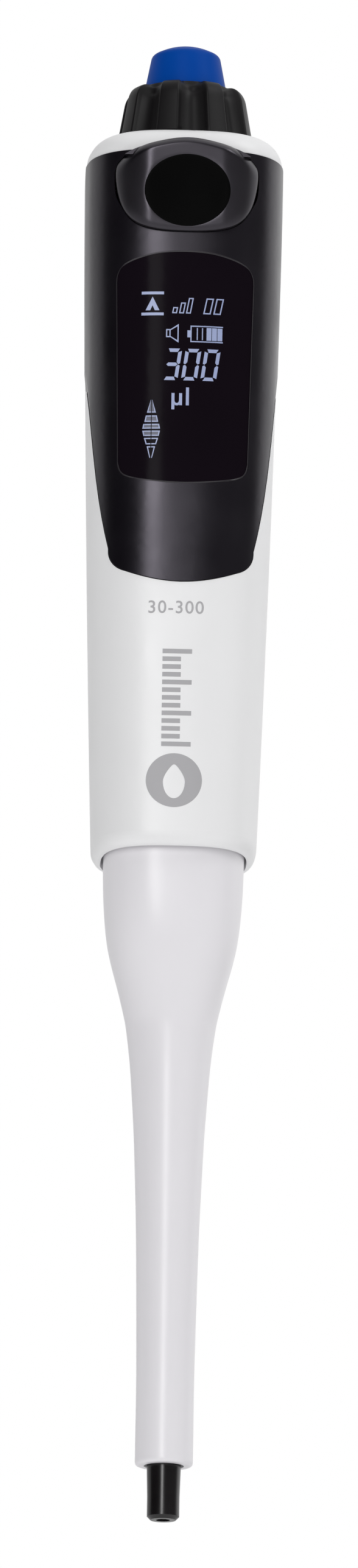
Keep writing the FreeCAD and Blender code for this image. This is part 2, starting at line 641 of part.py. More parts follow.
def trigger_pin():
    return rod_x(TRIGGER_PIN_R, -EAR_OUTER, EAR_OUTER, TRIGGER_PIVOT_Y, TRIGGER_PIVOT_Z)


def trigger_springs():
    springs = []
    for x in (-5.5, 5.5):
        spring = coil(1.3, 0.35, 0, BOARD_FRONT + 15.0, 4)
        spring.rotate(V(0, 0, 0), X_AXIS, 90)
        spring.translate(V(x, BOARD_FRONT, SWITCH_Z - 2))
        springs.append(spring)
    return Part.makeCompound(springs)


# ---- electronics --------------------------------------------------------------------------------
def main_board():
    board = box(-RAIL_IN + 0.2, RAIL_IN - 0.2, BOARD_FRONT, BOARD_FRONT + BOARD_THICK, 152, 238)
    holes = [rod_y(BOARD_SCREW_R + 0.1, BOARD_FRONT - 1, BOARD_FRONT + 3, x, z)
             for x in BOARD_POST_X for z in BOARD_POST_Z]
    return cut_all(board, holes)


def board_screws():
    face = BOARD_FRONT + BOARD_THICK
    return Part.makeCompound([screw(1.5, 0.9, BOARD_SCREW_R, 3.0, V(x, face, z), Y_AXIS * -1)
                              for x in BOARD_POST_X for z in BOARD_POST_Z])


def board_chips():
    back = BOARD_FRONT + BOARD_THICK
    places = [(-4.0, 196.0, 7.0, 7.0), (4.5, 184.0, 5.0, 4.0), (-5.0, 180.0, 4.0, 5.0),
              (3.0, 170.0, 5.0, 6.0)]
    return Part.makeCompound([box(x - w / 2, x + w / 2, back, back + 1.0, z - h / 2, z + h / 2)
                              for x, z, w, h in places])


def trigger_switch():
    body = box(-3, 3, SWITCH_FACE + 0.5, BOARD_FRONT, SWITCH_Z - 2.5, SWITCH_Z + 2.5)
    return body.fuse(rod_y(1.2, SWITCH_FACE, SWITCH_FACE + 0.5, 0, SWITCH_Z)).removeSplitter()


def display_panel():
    return box(-9.0, 9.0, LCD_FRONT, LCD_FRONT + LCD_THICK, 181.8, 217.4)


def backlight():
    return box(-9.6, 9.6, LCD_FRONT + LCD_THICK, BOARD_FRONT, 180.8, 218.2)


def display_ribbon():
    strip = fuse_all([box(-6, 6, LCD_FRONT + 1.0, LCD_FRONT + 1.2, 176.5, 181.8),
                      box(-6, 6, LCD_FRONT + 1.0, BOARD_FRONT, 176.3, 176.5)])
    return strip


def battery():
    cell = box(-9.5, 9.5, BATTERY_FRONT, BATTERY_FRONT + 7, 166.5, 203)
    upright = [e for e in cell.Edges if e.BoundBox.ZLength > 30]
    return cell.makeFillet(2.5, upright)


def battery_terminals():
    top = 203.0
    return Part.makeCompound([box(x - 1.5, x + 1.5, BATTERY_FRONT + 2, BATTERY_FRONT + 5, top, top + 1.2)
                              for x in (-5, 5)])


def buzzer():
    can = rod_y(4.2, BOARD_FRONT - 2.4, BOARD_FRONT, 0, 168.0)
    return can.cut(rod_y(0.8, BOARD_FRONT - 3, BOARD_FRONT - 1.2, 0, 168.0))


# ---- drive --------------------------------------------------------------------------------------
def chassis():
    """Inner frame: a foot plate, two rails beside the battery and board, and two cross plates."""
    space = grip_solid(WALL + 0.15, 130, 226)
    foot = box(-20, 20, -20, 20, FRAME_TOP, MOTOR_BOTTOM).common(space)
    foot = cut_all(foot, [cylinder(5.0, FRAME_TOP - 1, MOTOR_BOTTOM + 1),
                          cylinder(ROD_R + 0.3, FRAME_TOP - 1, MOTOR_BOTTOM + 1, 0, ROD_Y)])
    rails = []
    for side in (-1, 1):
        near, far = sorted((side * RAIL_IN, side * RAIL_OUT))
        rails.append(box(near, far, RAIL_FRONT, RAIL_BACK, MOTOR_BOTTOM, GUIDE_FOOT).common(space))
    middle = box(-RAIL_IN, RAIL_IN, BOARD_FRONT + BOARD_THICK + 1.4, RAIL_BACK, 163.5, 165.5)
    top = box(-RAIL_IN, RAIL_IN, BOARD_FRONT + BOARD_THICK + 1.4, RAIL_BACK, 220.0, GUIDE_FOOT)
    top = top.cut(cylinder(2.8, 219, 225))
    bosses = [box(x - 2.4, x + 2.4, RAIL_BACK - 0.5, rear_seat(), REAR_SCREW_Z - 8, REAR_SCREW_Z + 3)
              .common(grip_solid(WALL + 0.1, 130, 226)) for x in REAR_SCREW_X]
    feet = [box(min(x, side * RAIL_OUT), max(x, side * RAIL_OUT), RAIL_BACK - 3, RAIL_BACK, MOTOR_BOTTOM,
                REAR_SCREW_Z + 3).common(space) for x, side in zip(REAR_SCREW_X, (-1, 1))]
    frame = fuse_all([foot, middle, top] + rails + bosses + feet)
    frame = frame.cut(cylinder(MOTOR_R + 0.15, MOTOR_BOTTOM, 163))
    holes = [rod_y(REAR_SCREW_R, RAIL_BACK - 3.4, 20, x, REAR_SCREW_Z) for x in REAR_SCREW_X]
    holes += [cylinder(MOTOR_SCREW_R, FRAME_TOP - 1, MOTOR_BOTTOM + 1, x, 0) for x in MOTOR_SCREW_X]
    return cut_all(frame, holes)


def motor():
    """Can of the linear stepping motor; the rotor turns inside it."""
    can = cylinder(MOTOR_R, MOTOR_BOTTOM, MOTOR_TOP).cut(cylinder(5.3, MOTOR_BOTTOM + 1.5, MOTOR_TOP - 1.5))
    can = can.cut(cylinder(2.4, MOTOR_BOTTOM - 1, MOTOR_TOP + 1))
    holes = [cylinder(MOTOR_SCREW_R, MOTOR_BOTTOM - 1, MOTOR_BOTTOM + 1.2, x, 0) for x in MOTOR_SCREW_X]
    return cut_all(can, holes)


def motor_screws():
    length = MOTOR_BOTTOM + 1.2 - FRAME_TOP
    return Part.makeCompound([screw(1.5, 0.9, MOTOR_SCREW_R, length, V(x, 0, FRAME_TOP), Z_AXIS)
                              for x in MOTOR_SCREW_X])


def motor_rotor():
    core = tube(5.0, SCREW_R, MOTOR_BOTTOM + 2, MOTOR_TOP - 2)
    return core


def lead_screw():
    shaft = cylinder(SCREW_R, SCREW_BOTTOM, MOTOR_TOP + 1)
    return shaft


def motor_bushes():
    """Upper and lower bearings of the screw, pressed in the can's ends."""
    return Part.makeCompound([tube(2.4, SCREW_R + RUNNING, MOTOR_BOTTOM, MOTOR_BOTTOM + 1.5),
                              tube(2.4, SCREW_R + RUNNING, MOTOR_TOP - 1.5, MOTOR_TOP)])


def nose_frame():
    """Tube that joins the measuring cylinder to the chassis and keeps the carrier from turning."""
    outside = spun([(0, 84), (5.8, 84), (5.8, 88.5), (7.0, 92), (8.0, 95.5), (8.6, 98), (8.6, FRAME_TOP),
                    (0, FRAME_TOP)])
    inside = spun([(0, 83), (BARREL_HEAD_R, 83), (BARREL_HEAD_R, BARREL_TOP), (4.5, BARREL_TOP), (4.5, 99),
                   (CARRIER_R + 0.4, 99), (CARRIER_R + 0.4, FRAME_TOP + 1), (0, FRAME_TOP + 1)])
    key_way = box(0, KEY_REACH + 0.3, -1.3, 1.3, 99, FRAME_TOP + 1)
    flag_slot = box(-1.0, 1.0, -10, 0, 104, 131)
    shell = cut_all(outside, [inside, key_way, flag_slot])
    rim = tube(11.2, 8.0, FRAME_TOP - 2.2, FRAME_TOP)
    rim = rim.common(box(-12, 12, -8.2, 8.2, 100, 200))
    shell = shell.fuse(rim.cut(box(0, KEY_REACH + 0.3, -1.3, 1.3, 99, 200))).removeSplitter()
    return cut_all(shell, [cylinder(1.8, FRAME_TOP - 3, FRAME_TOP + 1, x, 0) for x in MOTOR_SCREW_X])


def carrier():
    """Nut that climbs the screw and carries the piston; a key stops it turning."""
    body = spun([(0, 94), (4.0, 94), (4.0, 102), (CARRIER_R, 102), (CARRIER_R, 114), (0, 114)])
    key = box(4, KEY_REACH, -1, 1, 104, 112)
    body = fuse_all([body, key])
    bore = fuse_all([cylinder(PISTON_R, 93, 99), cylinder(2.0, 98, 109),
                     cylinder(SCREW_R + RUNNING, 108, 115)])
    return body.cut(bore)


def home_flag():
    return box(-0.5, 0.5, -9.9, -CARRIER_R + 0.3, 109, 113).cut(cylinder(CARRIER_R, 100, 114))


def home_sensor():
    """Fork that the flag enters at the top of the stroke."""
    arms = [box(-3.2, -1.1, -12.6, -8.9, 124, FRAME_TOP), box(1.1, 3.2, -12.6, -8.9, 124, FRAME_TOP)]
    back = box(-3.2, 3.2, -12.6, -10.6, 124, FRAME_TOP)
    return fuse_all(arms + [back])


def piston():
    rod = cylinder(PISTON_R, PISTON_BOTTOM, 99).cut(cylinder(SCREW_R + 0.3, 89.2, 100))
    tip = [e for e in rod.Edges if abs(e.BoundBox.ZMax - PISTON_BOTTOM) < 0.01]
    return rod.makeChamfer(0.3, tip)


def measuring_cylinder():
    return spun([(BARREL_BORE_R, CONE_SHOULDER), (BARREL_R, CONE_SHOULDER), (BARREL_R, 84),
                 (BARREL_HEAD_R, 84), (BARREL_HEAD_R, BARREL_TOP), (SEAL_R, BARREL_TOP), (SEAL_R, SEAL_SEAT),
                 (BARREL_BORE_R, SEAL_SEAT)])


def piston_seal():
    return spun([(PISTON_R + RUNNING, SEAL_SEAT), (SEAL_R, SEAL_SEAT), (SEAL_R, SEAL_SEAT + 2.2),
                 (PISTON_R + RUNNING, SEAL_SEAT + 2.2)])


def seal_bush():
    low = SEAL_SEAT + 2.2
    return spun([(PISTON_R + 0.08, low), (SEAL_R, low), (SEAL_R, BARREL_TOP), (PISTON_R + 0.08, BARREL_TOP)])


def tip_cone():
    """Cone that the disposable tip is pressed on, with a spigot up into the measuring cylinder."""
    low, high = CONE_SEAL
    cone = spun([(0, 0), (CONE_END_R - 0.6, 0), (CONE_END_R, low), (CONE_END_R, high),
                 (CONE_TOP_R, SLEEVE_BOTTOM), (3.0, 12.0), (3.3, 14.0), (3.3, CONE_SHOULDER),
                 (SPIGOT_R, CONE_SHOULDER), (SPIGOT_R, SPIGOT_TOP), (0, SPIGOT_TOP)])
    return cone.cut(cylinder(CONE_BORE_R, -1, SPIGOT_TOP + 1))


NODES = {
    "housing": housing, "front_cover": front_cover, "display_window": display_window,
    "finger_hook": finger_hook, "hook_screws": hook_screws, "rear_screws": rear_screws,
    "charge_contacts": charge_contacts, "contact_board": contact_board,
    "volume_dial": volume_dial, "encoder_rotor": encoder_rotor, "dial_bearing": dial_bearing,
    "encoder_body": encoder_body,
    "ejector_button": ejector_button, "ejector_spring": ejector_spring, "ejector_guide": ejector_guide,
    "ejector_stem": ejector_stem, "ejector_bridge": ejector_bridge, "ejector_rod": ejector_rod,
    "ejector_sleeve": ejector_sleeve,
    "trigger_button": trigger_button, "trigger_pin": trigger_pin, "trigger_springs": trigger_springs,
    "main_board": main_board, "board_screws": board_screws, "board_chips": board_chips,
    "trigger_switch": trigger_switch, "display_panel": display_panel, "backlight": backlight,
    "display_ribbon": display_ribbon, "battery": battery, "battery_terminals": battery_terminals,
    "buzzer": buzzer,
    "chassis": chassis, "motor": motor, "motor_screws": motor_screws, "motor_rotor": motor_rotor,
    "lead_screw": lead_screw, "motor_bushes": motor_bushes, "nose_frame": nose_frame, "carrier": carrier,
    "home_flag": home_flag, "home_sensor": home_sensor, "piston": piston,
    "measuring_cylinder": measuring_cylinder, "piston_seal": piston_seal, "seal_bush": seal_bush,
    "tip_cone": tip_cone,
}

if __name__ == "__main__":
    os.makedirs("parts", exist_ok=True)
    for name, make in NODES.items():
        piece = make()
        piece.exportStep(f"parts/{name}.step")
        print(name, round(piece.Volume, 1), "valid" if piece.isValid() else "BROKEN", len(piece.Solids))
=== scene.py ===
import bpy
import bmesh
import json
import math
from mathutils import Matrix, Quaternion, Vector
from mathutils.bvhtree import BVHTree


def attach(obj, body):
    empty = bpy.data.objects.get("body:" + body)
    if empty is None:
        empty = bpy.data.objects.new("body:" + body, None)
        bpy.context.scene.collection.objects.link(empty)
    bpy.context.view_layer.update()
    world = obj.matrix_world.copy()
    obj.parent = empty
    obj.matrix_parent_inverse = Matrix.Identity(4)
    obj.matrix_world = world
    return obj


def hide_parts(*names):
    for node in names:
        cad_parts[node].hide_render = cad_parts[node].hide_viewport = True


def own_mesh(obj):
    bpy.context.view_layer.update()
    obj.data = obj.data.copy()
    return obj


# Looks for an electronic micropipette.  +Z runs up the pipette, the display faces -Y.
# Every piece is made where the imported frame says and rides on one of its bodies.
# Shapes are drawn in millimetres and finish_piece turns them into metres.  The camera, the floor and
# the lights are given in metres.

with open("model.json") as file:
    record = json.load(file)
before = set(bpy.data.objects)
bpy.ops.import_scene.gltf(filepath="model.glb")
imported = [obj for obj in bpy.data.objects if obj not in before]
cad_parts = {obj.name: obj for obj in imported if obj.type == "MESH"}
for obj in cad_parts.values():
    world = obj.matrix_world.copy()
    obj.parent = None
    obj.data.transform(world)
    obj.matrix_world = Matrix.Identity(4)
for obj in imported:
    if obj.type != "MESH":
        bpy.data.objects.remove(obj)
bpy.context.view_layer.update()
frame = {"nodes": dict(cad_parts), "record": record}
NODES = frame["nodes"]
MM = 0.001


# ---- colours and materials ----------------------------------------------------------------------
SHEEN_PATCH = 9         # size of the patches where roughness drifts
TINT_PATCH = 14         # size of the patches where colour drifts
TINT_SHARE = 0.5
NOISE_LOW, NOISE_HIGH = 0.3, 0.7    # most of a noise texture's values lie between these


def srgb(red, green, blue):
    """Linear colour of display values from 0 to 255."""
    def one(c):
        c /= 255
        return c / 12.92 if c <= 0.04045 else ((c + 0.055) / 1.055) ** 2.4
    return one(red), one(green), one(blue), 1.0


class Shader:
    """One procedural material.  Sizes are in millimetres on the object."""

    def __init__(self, name, colour, roughness, sockets):
        self.material = bpy.data.materials.new(name)
        self.material.use_nodes = True
        self.nodes = self.material.node_tree.nodes
        self.links = self.material.node_tree.links
        self.surface = self.nodes["Principled BSDF"]
        self.surface.inputs["Base Color"].default_value = colour
        self.surface.inputs["Roughness"].default_value = roughness
        self.colour = colour
        self.roughness = roughness
        for socket, value in sockets.items():
            self.surface.inputs[socket].default_value = value
        self.place = self.nodes.new("ShaderNodeTexCoord").outputs["Object"]

    def noise(self, size, detail):
        """Noise whose features are about size millimetres across."""
        mapping = self.nodes.new("ShaderNodeMapping")
        mapping.inputs["Scale"].default_value = [1 / (size * MM)] * 3
        texture = self.nodes.new("ShaderNodeTexNoise")
        texture.inputs["Scale"].default_value = 1.0
        texture.inputs["Detail"].default_value = detail
        self.links.new(self.place, mapping.inputs["Vector"])
        self.links.new(mapping.outputs["Vector"], texture.inputs["Vector"])
        return texture.outputs["Fac"]

    def patches(self, size, low, high):
        """A value that wanders between low and high from place to place."""
        node = self.nodes.new("ShaderNodeMapRange")
        node.inputs["From Min"].default_value = NOISE_LOW
        node.inputs["From Max"].default_value = NOISE_HIGH
        node.inputs["To Min"].default_value = low
        node.inputs["To Max"].default_value = high
        self.links.new(self.noise(size, 3.0), node.inputs["Value"])
        return node.outputs["Result"]

    def grain(self, size, depth):
        """Fine relief, depth in millimetres."""
        bump = self.nodes.new("ShaderNodeBump")
        bump.inputs["Strength"].default_value = 1.0
        bump.inputs["Distance"].default_value = depth * MM
        self.links.new(self.noise(size, 2.0), bump.inputs["Height"])
        self.links.new(bump.outputs["Normal"], self.surface.inputs["Normal"])

    def sheen_patches(self, size, spread):
        """Roughness that drifts from place to place by plus or minus spread."""
        value = self.patches(size, self.roughness - spread, self.roughness + spread)
        self.links.new(value, self.surface.inputs["Roughness"])

    def tint(self, size, other, share):
        """Colour that drifts towards another by up to share."""
        mix = self.nodes.new("ShaderNodeMix")
        mix.data_type = "RGBA"
        mix.inputs["A"].default_value = self.colour
        mix.inputs["B"].default_value = other
        self.links.new(self.patches(size, 0, share), mix.inputs["Factor"])
        self.links.new(mix.outputs["Result"], self.surface.inputs["Base Color"])


def finished(name, colour, other, roughness, drift, grain_size, grain_depth, sockets):
    """A moulded or worked surface: fine relief, drifting sheen and a slight drift of colour."""
    shader = Shader(name, srgb(*colour), roughness, sockets)
    shader.grain(grain_size, grain_depth)
    shader.sheen_patches(SHEEN_PATCH, drift)
    shader.tint(TINT_PATCH, srgb(*other), TINT_SHARE)
    return shader.material


VIOLET_SHINE = {"Specular Tint": (0.93, 0.87, 1.0, 1.0)}    # the black parts shine slightly violet
LCD_GLOW = {"Emission Color": srgb(168, 178, 214)}
METAL = {"Metallic": 1.0}

# Colour, the colour it drifts to, roughness, its drift, grain size, grain depth, other sockets.
FINISHES = {
    "housing_white": ((240, 240, 241), (238, 238, 239), 0.38, 0.05, 0.35, 0.003, {}),
    "sleeve_white": ((237, 235, 239), (235, 233, 237), 0.33, 0.02, 0.6, 0.001, {}),
    "cover_black": ((8, 6, 11), (10, 7, 13), 0.31, 0.03, 0.16, 0.003, VIOLET_SHINE),
    "trigger_black": ((5, 4, 7), (8, 6, 10), 0.33, 0.03, 0.25, 0.001,
                      {**VIOLET_SHINE, "Specular IOR Level": 0.7}),
    "dial_black": ((8, 6, 8), (12, 10, 12), 0.46, 0.04, 0.18, 0.006, {"Specular IOR Level": 0.25}),
    "button_blue": ((0, 66, 157), (0, 72, 163), 0.46, 0.04, 0.25, 0.003, {"Specular IOR Level": 0.06}),
    "window_black": ((19, 14, 20), (21, 15, 22), 0.16, 0.01, 3.0, 0.001, {"Specular IOR Level": 0.015}),
    "cone_black": ((13, 10, 12), (17, 14, 16), 0.26, 0.03, 0.5, 0.001, {}),
    "inner_black": ((22, 22, 24), (30, 30, 32), 0.5, 0.05, 0.4, 0.01, {}),
    "inner_white": ((222, 222, 216), (212, 212, 205), 0.5, 0.05, 0.4, 0.01, {}),
    "board_green": ((20, 92, 52), (14, 76, 44), 0.35, 0.05, 0.3, 0.004, {}),
    "chip_black": ((26, 26, 28), (34, 34, 36), 0.55, 0.04, 0.12, 0.006, {}),
    "display_dark": ((18, 20, 24), (22, 24, 28), 0.12, 0.02, 1.0, 0.001, {}),
    "film_amber": ((190, 112, 30), (172, 96, 22), 0.3, 0.05, 1.0, 0.002, {}),
    "battery_wrap": ((40, 66, 120), (34, 56, 106), 0.3, 0.05, 1.2, 0.004, {}),
    "steel": ((190, 192, 194), (170, 172, 174), 0.28, 0.06, 0.3, 0.002, METAL),
    "screw_steel": ((176, 176, 178), (150, 150, 152), 0.34, 0.06, 0.25, 0.004, METAL),
    "motor_steel": ((168, 168, 166), (150, 150, 148), 0.4, 0.06, 0.4, 0.004, METAL),
    "bronze": ((196, 140, 82), (172, 118, 66), 0.42, 0.06, 0.2, 0.006, METAL),
    "contact_gold": ((232, 190, 104), (218, 170, 84), 0.22, 0.05, 0.3, 0.002, METAL),
    "piston_ceramic": ((236, 234, 228), (230, 228, 220), 0.14, 0.03, 0.5, 0.001, {}),
    "seal_rubber": ((24, 24, 25), (32, 32, 33), 0.6, 0.05, 0.3, 0.008, {}),
    # Next row: near-black with almost no shine, a painted dark reflection laid over the trigger's middle.
    "painted_reflection_black": ((3, 3, 3), (6, 6, 6), 0.6, 0.05, 0.2, 0.01, {"Specular IOR Level": 0.04}),
    # Next row: a lighter grey for the strip round the window, a painted highlight of its edge.
    "painted_highlight_grey": ((38, 35, 40), (44, 41, 46), 0.4, 0.04, 0.2, 0.002, {}),
    "print_grey": ((174, 173, 176), (166, 165, 168), 0.5, 0.04, 0.12, 0.004, {}),
    "lcd_dim": ((50, 52, 70), (44, 46, 64), 0.4, 0.03, 0.3, 0.001, {**LCD_GLOW, "Emission Strength": 0.08}),
    "lcd_light": ((120, 130, 160), (104, 114, 150), 0.4, 0.03, 0.3, 0.001,
                  {**LCD_GLOW, "Emission Strength": 0.34}),
    "floor_pale": ((240, 240, 240), (236, 236, 236), 0.7, 0.05, 30, 0.5,
                   {"Emission Color": (1, 1, 1, 1), "Emission Strength": 0.16}),
}
MATERIALS = {name: finished(name, *row) for name, row in FINISHES.items()}


def dress_frame():
    """Gives each CAD node the material of its slot."""
    for subpart in frame["record"]["subparts"]:
        mesh = NODES[subpart["node"]].data
        mesh.materials.clear()
        mesh.materials.append(MATERIALS[subpart["material_slot"]])


# ---- shape tools --------------------------------------------------------------------------------
def eased(t):
    """Smooth step from 0 to 1."""
    t = min(max(t, 0.0), 1.0)
    return t * t * (3 - 2 * t)


def signed_power(value, power):
    return math.copysign(abs(value) ** power, value)


def flowing(points, steps, closed=False):
    """More points on a smooth curve through the given ones (Catmull-Rom)."""
    count = len(points)
    result = []
    for i in range(count if closed else count - 1):
        if closed:
            near = [points[(i + k) % count] for k in (-1, 0, 1, 2)]
        else:
            near = [points[min(max(i + k, 0), count - 1)] for k in (-1, 0, 1, 2)]
        for j in range(steps):
            t = j / steps
            result.append(tuple(
                0.5 * (2 * b + (c - a) * t + (2 * a - 5 * b + 4 * c - d) * t * t
                       + (3 * b - a - 3 * c + d) * t ** 3)
                for a, b, c, d in zip(*near)))
    if not closed:
        result.append(tuple(points[-1]))
    return result


def rounded_corner(start, corner, end, steps):
    """Points of a quadratic curve from start to end that bends at corner."""
    points = []
    for i in range(steps + 1):
        t = i / steps
        points.append(tuple(a * (1 - t) ** 2 + 2 * b * t * (1 - t) + c * t * t
                            for a, b, c in zip(start, corner, end)))
    return points


def finish_piece(name, form, material, body, sharp, stands_for=None):
    """Turns a bmesh in millimetres into a smooth piece that rides on a body.

    Edges sharper than sharp degrees stay crisp.
    """
    bmesh.ops.scale(form, vec=(MM, MM, MM), verts=form.verts)
    bmesh.ops.recalc_face_normals(form, faces=form.faces)
    mesh = bpy.data.meshes.new(name)
    form.to_mesh(mesh)
    form.free()
    for face in mesh.polygons:
        face.use_smooth = True
    mesh.set_sharp_from_angle(angle=math.radians(sharp))
    mesh.materials.append(MATERIALS[material])
    piece = bpy.data.objects.new(name, mesh)
    bpy.context.scene.collection.objects.link(piece)
    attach(piece, body)
    if stands_for:
        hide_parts(stands_for)
    return piece


def skin(rings, closed=False, form=None):
    """Bmesh through rings of equal length; its ends are capped, or joined when the rings close a loop."""
    form = form or bmesh.new()
    loops = [[form.verts.new(p) for p in ring] for ring in rings]
    following = loops[1:] + loops[:1] if closed else loops[1:]
    count = len(rings[0])
    for low, high in zip(loops, following):
        for i in range(count):
            j = (i + 1) % count
            form.faces.new((low[i], low[j], high[j], high[i]))
    if not closed:
        form.faces.new(loops[0])
        form.faces.new(loops[-1])
    return form


def spun(profile, segments, reach=None):
    """Rings round the long axis for (radius, z) points; reach(radius, z, angle) may change each point."""
    rings = []
    for radius, z in profile:
        ring = []
        for i in range(segments):
            angle = 2 * math.pi * i / segments
            r, h = reach(radius, z, angle) if reach else (radius, z)
            ring.append((r * math.sin(angle), -r * math.cos(angle), h))
        rings.append(ring)
    return rings


COIL_STEPS = 44         # per turn
WIRE_SIDES = 12


def coil_rings(radius, wire, low, high, turns, place):
    """Round wire wound from low to high; place(x, y, h) puts each point where it belongs."""
    rings = []
    steps = COIL_STEPS * turns
    start, rise = low + wire, high - low - 2 * wire
    for i in range(steps + 1):
        turn = 2 * math.pi * turns * i / steps
        ring = []
        for k in range(WIRE_SIDES):
            a = 2 * math.pi * k / WIRE_SIDES
            r = radius + wire * math.cos(a)
            h = start + rise * i / steps + wire * math.sin(a)
            ring.append(place(r * math.cos(turn), r * math.sin(turn), h))
        rings.append(ring)
    return rings


# ---- dial ---------------------------------------------------------------------------------------
DIAL_RIBS = 8
DIAL_FIRST_RIB = math.radians(-17.5)
DIAL_LOW, DIAL_HIGH = 243.9, 253.7
DIAL_LOW_R, DIAL_HIGH_R = 12.0, 10.3
DIAL_BREAK = 0.15       # how far the corners are taken back
DIAL_SHOULDER = 2.3     # height of the rounded upper edge
DIAL_CROWN_R = 8.4
DIAL_WELL_R, DIAL_WELL_MIDDLE, DIAL_WELL_FLOOR = 7.6, 248.0, 242.0
DIAL_LIP = 0.35         # size of the rounded edge into the well
DIAL_SKIRT_R, DIAL_FOOT = 8.3, 240.5
DIAL_BORE_R = 3.4
DIAL_SEGMENTS = 320
RIB_HALF = 8.0          # degrees
SCOOP_DEPTH = 1.75
SCOOP_STEEPNESS = 5
SCOOP_TOP_DROP = 0.8    # how much lower the upper edge is between the ribs
SCOOP_TOP_START, SCOOP_TOP_SPAN = 250, 3
SCOOP_INNER, SCOOP_REACH = 8.2, 10.4
SCOOP_INNER_SPAN = 0.3


def dial_reach(radius, z, angle):
    """Cuts the scoops between the dial's ribs."""
    if radius < SCOOP_INNER or z < DIAL_LOW - 0.01:
        return radius, z
    pitch = 360 / DIAL_RIBS
    off = math.degrees(angle - DIAL_FIRST_RIB) % pitch
    off = min(off, pitch - off)
    t = min(max((off - RIB_HALF) / (pitch / 2 - RIB_HALF), 0), 1)
    scoop = eased(min(t * SCOOP_STEEPNESS, 1)) * (1 - (1 - t) ** 2)
    depth = SCOOP_DEPTH * scoop * min((radius - SCOOP_INNER) / (SCOOP_REACH - SCOOP_INNER), 1)
    high = eased((z - SCOOP_TOP_START) / SCOOP_TOP_SPAN)
    drop = SCOOP_TOP_DROP * scoop * high * eased((radius - SCOOP_INNER) / SCOOP_INNER_SPAN)
    return radius - depth, z - drop


def make_dial():
    rise = DIAL_HIGH - DIAL_SHOULDER - DIAL_LOW
    slope = (DIAL_LOW_R - DIAL_HIGH_R) / (DIAL_HIGH - DIAL_LOW)
    first, steps = 0.12, 10
    side = [(DIAL_LOW_R - DIAL_BREAK, DIAL_LOW)]
    for i in range(steps + 1):
        side.append((DIAL_LOW_R - slope * rise * i / steps, DIAL_LOW + first + (rise - first) * i / steps))
    edge = rounded_corner(side[-1], (DIAL_HIGH_R - DIAL_BREAK, DIAL_HIGH), (DIAL_CROWN_R, DIAL_HIGH), 10)[1:]
    well = rounded_corner((DIAL_WELL_R + DIAL_LIP, DIAL_HIGH), (DIAL_WELL_R, DIAL_HIGH),
                          (DIAL_WELL_R, DIAL_HIGH - DIAL_LIP), 4)
    inside = [(DIAL_WELL_R, DIAL_WELL_MIDDLE), (DIAL_WELL_R, DIAL_WELL_FLOOR),
              (DIAL_BORE_R, DIAL_WELL_FLOOR), (DIAL_BORE_R, DIAL_FOOT),
              (DIAL_SKIRT_R, DIAL_FOOT), (DIAL_SKIRT_R, DIAL_LOW)]
    form = skin(spun(side + edge + well + inside, DIAL_SEGMENTS, dial_reach), closed=True)
    finish_piece("dial_grip", form, "dial_black", "dial", 50, "volume_dial")


# ---- push button --------------------------------------------------------------------------------
BUTTON_BASE_R, BUTTON_RIM_R = 7.3, 6.1
BUTTON_BOTTOM, BUTTON_SKIRT_Z, BUTTON_TAPER_Z, BUTTON_RIM_Z = 249.5, 251.3, 253.0, 259.3
BUTTON_BREAK = 0.15
BUTTON_WALL = 1.1
BUTTON_RIM_CORNER = (6.0, 259.95)
DOME_EDGE_R, DOME_EDGE_Z = 5.35, 260.3
DOME_R, DOME_TOP = 10.8, 261.7
DOME_SINK, DOME_SINK_R = 0.015, 5       # the dome's middle stays this much below its full height
BUTTON_CEILING, BUTTON_CEILING_R = 257.6, 5.0
BUTTON_BOSS_R, BUTTON_BOSS_Z = 2.9, 257.8
BUTTON_SEGMENTS = 128
TINY = 0.02             # radius of the ring that closes a spun shape on the axis


def make_push_button():
    taper, dome = 8, 14
    profile = [(BUTTON_BASE_R - BUTTON_WALL, BUTTON_BOTTOM), (BUTTON_BASE_R - BUTTON_BREAK, BUTTON_BOTTOM),
               (BUTTON_BASE_R, BUTTON_BOTTOM + BUTTON_BREAK), (BUTTON_BASE_R, BUTTON_SKIRT_Z),
               (BUTTON_BASE_R, BUTTON_TAPER_Z)]
    for i in range(1, taper + 1):
        profile.append((BUTTON_BASE_R - (BUTTON_BASE_R - BUTTON_RIM_R) * i / taper,
                        BUTTON_TAPER_Z + (BUTTON_RIM_Z - BUTTON_TAPER_Z) * i / taper))
    rim, dome_edge = (BUTTON_RIM_R, BUTTON_RIM_Z), (DOME_EDGE_R, DOME_EDGE_Z)
    profile += rounded_corner(rim, BUTTON_RIM_CORNER, dome_edge, 6)[1:]
    for i in range(1, dome + 1):
        r = DOME_EDGE_R * (1 - i / dome)
        sink = DOME_SINK if r < DOME_SINK_R else 0
        profile.append((max(r, TINY), DOME_TOP - DOME_R + math.sqrt(DOME_R ** 2 - r * r) - sink))
    inside = [(TINY, BUTTON_BOSS_Z), (BUTTON_BOSS_R, BUTTON_CEILING), (BUTTON_CEILING_R, BUTTON_CEILING),
              (BUTTON_BASE_R - BUTTON_WALL, BUTTON_TAPER_Z)]
    form = skin(spun(profile, BUTTON_SEGMENTS) + spun(inside, BUTTON_SEGMENTS), closed=True)
    finish_piece("push_button", form, "button_blue", "ejector", 40, "ejector_button")


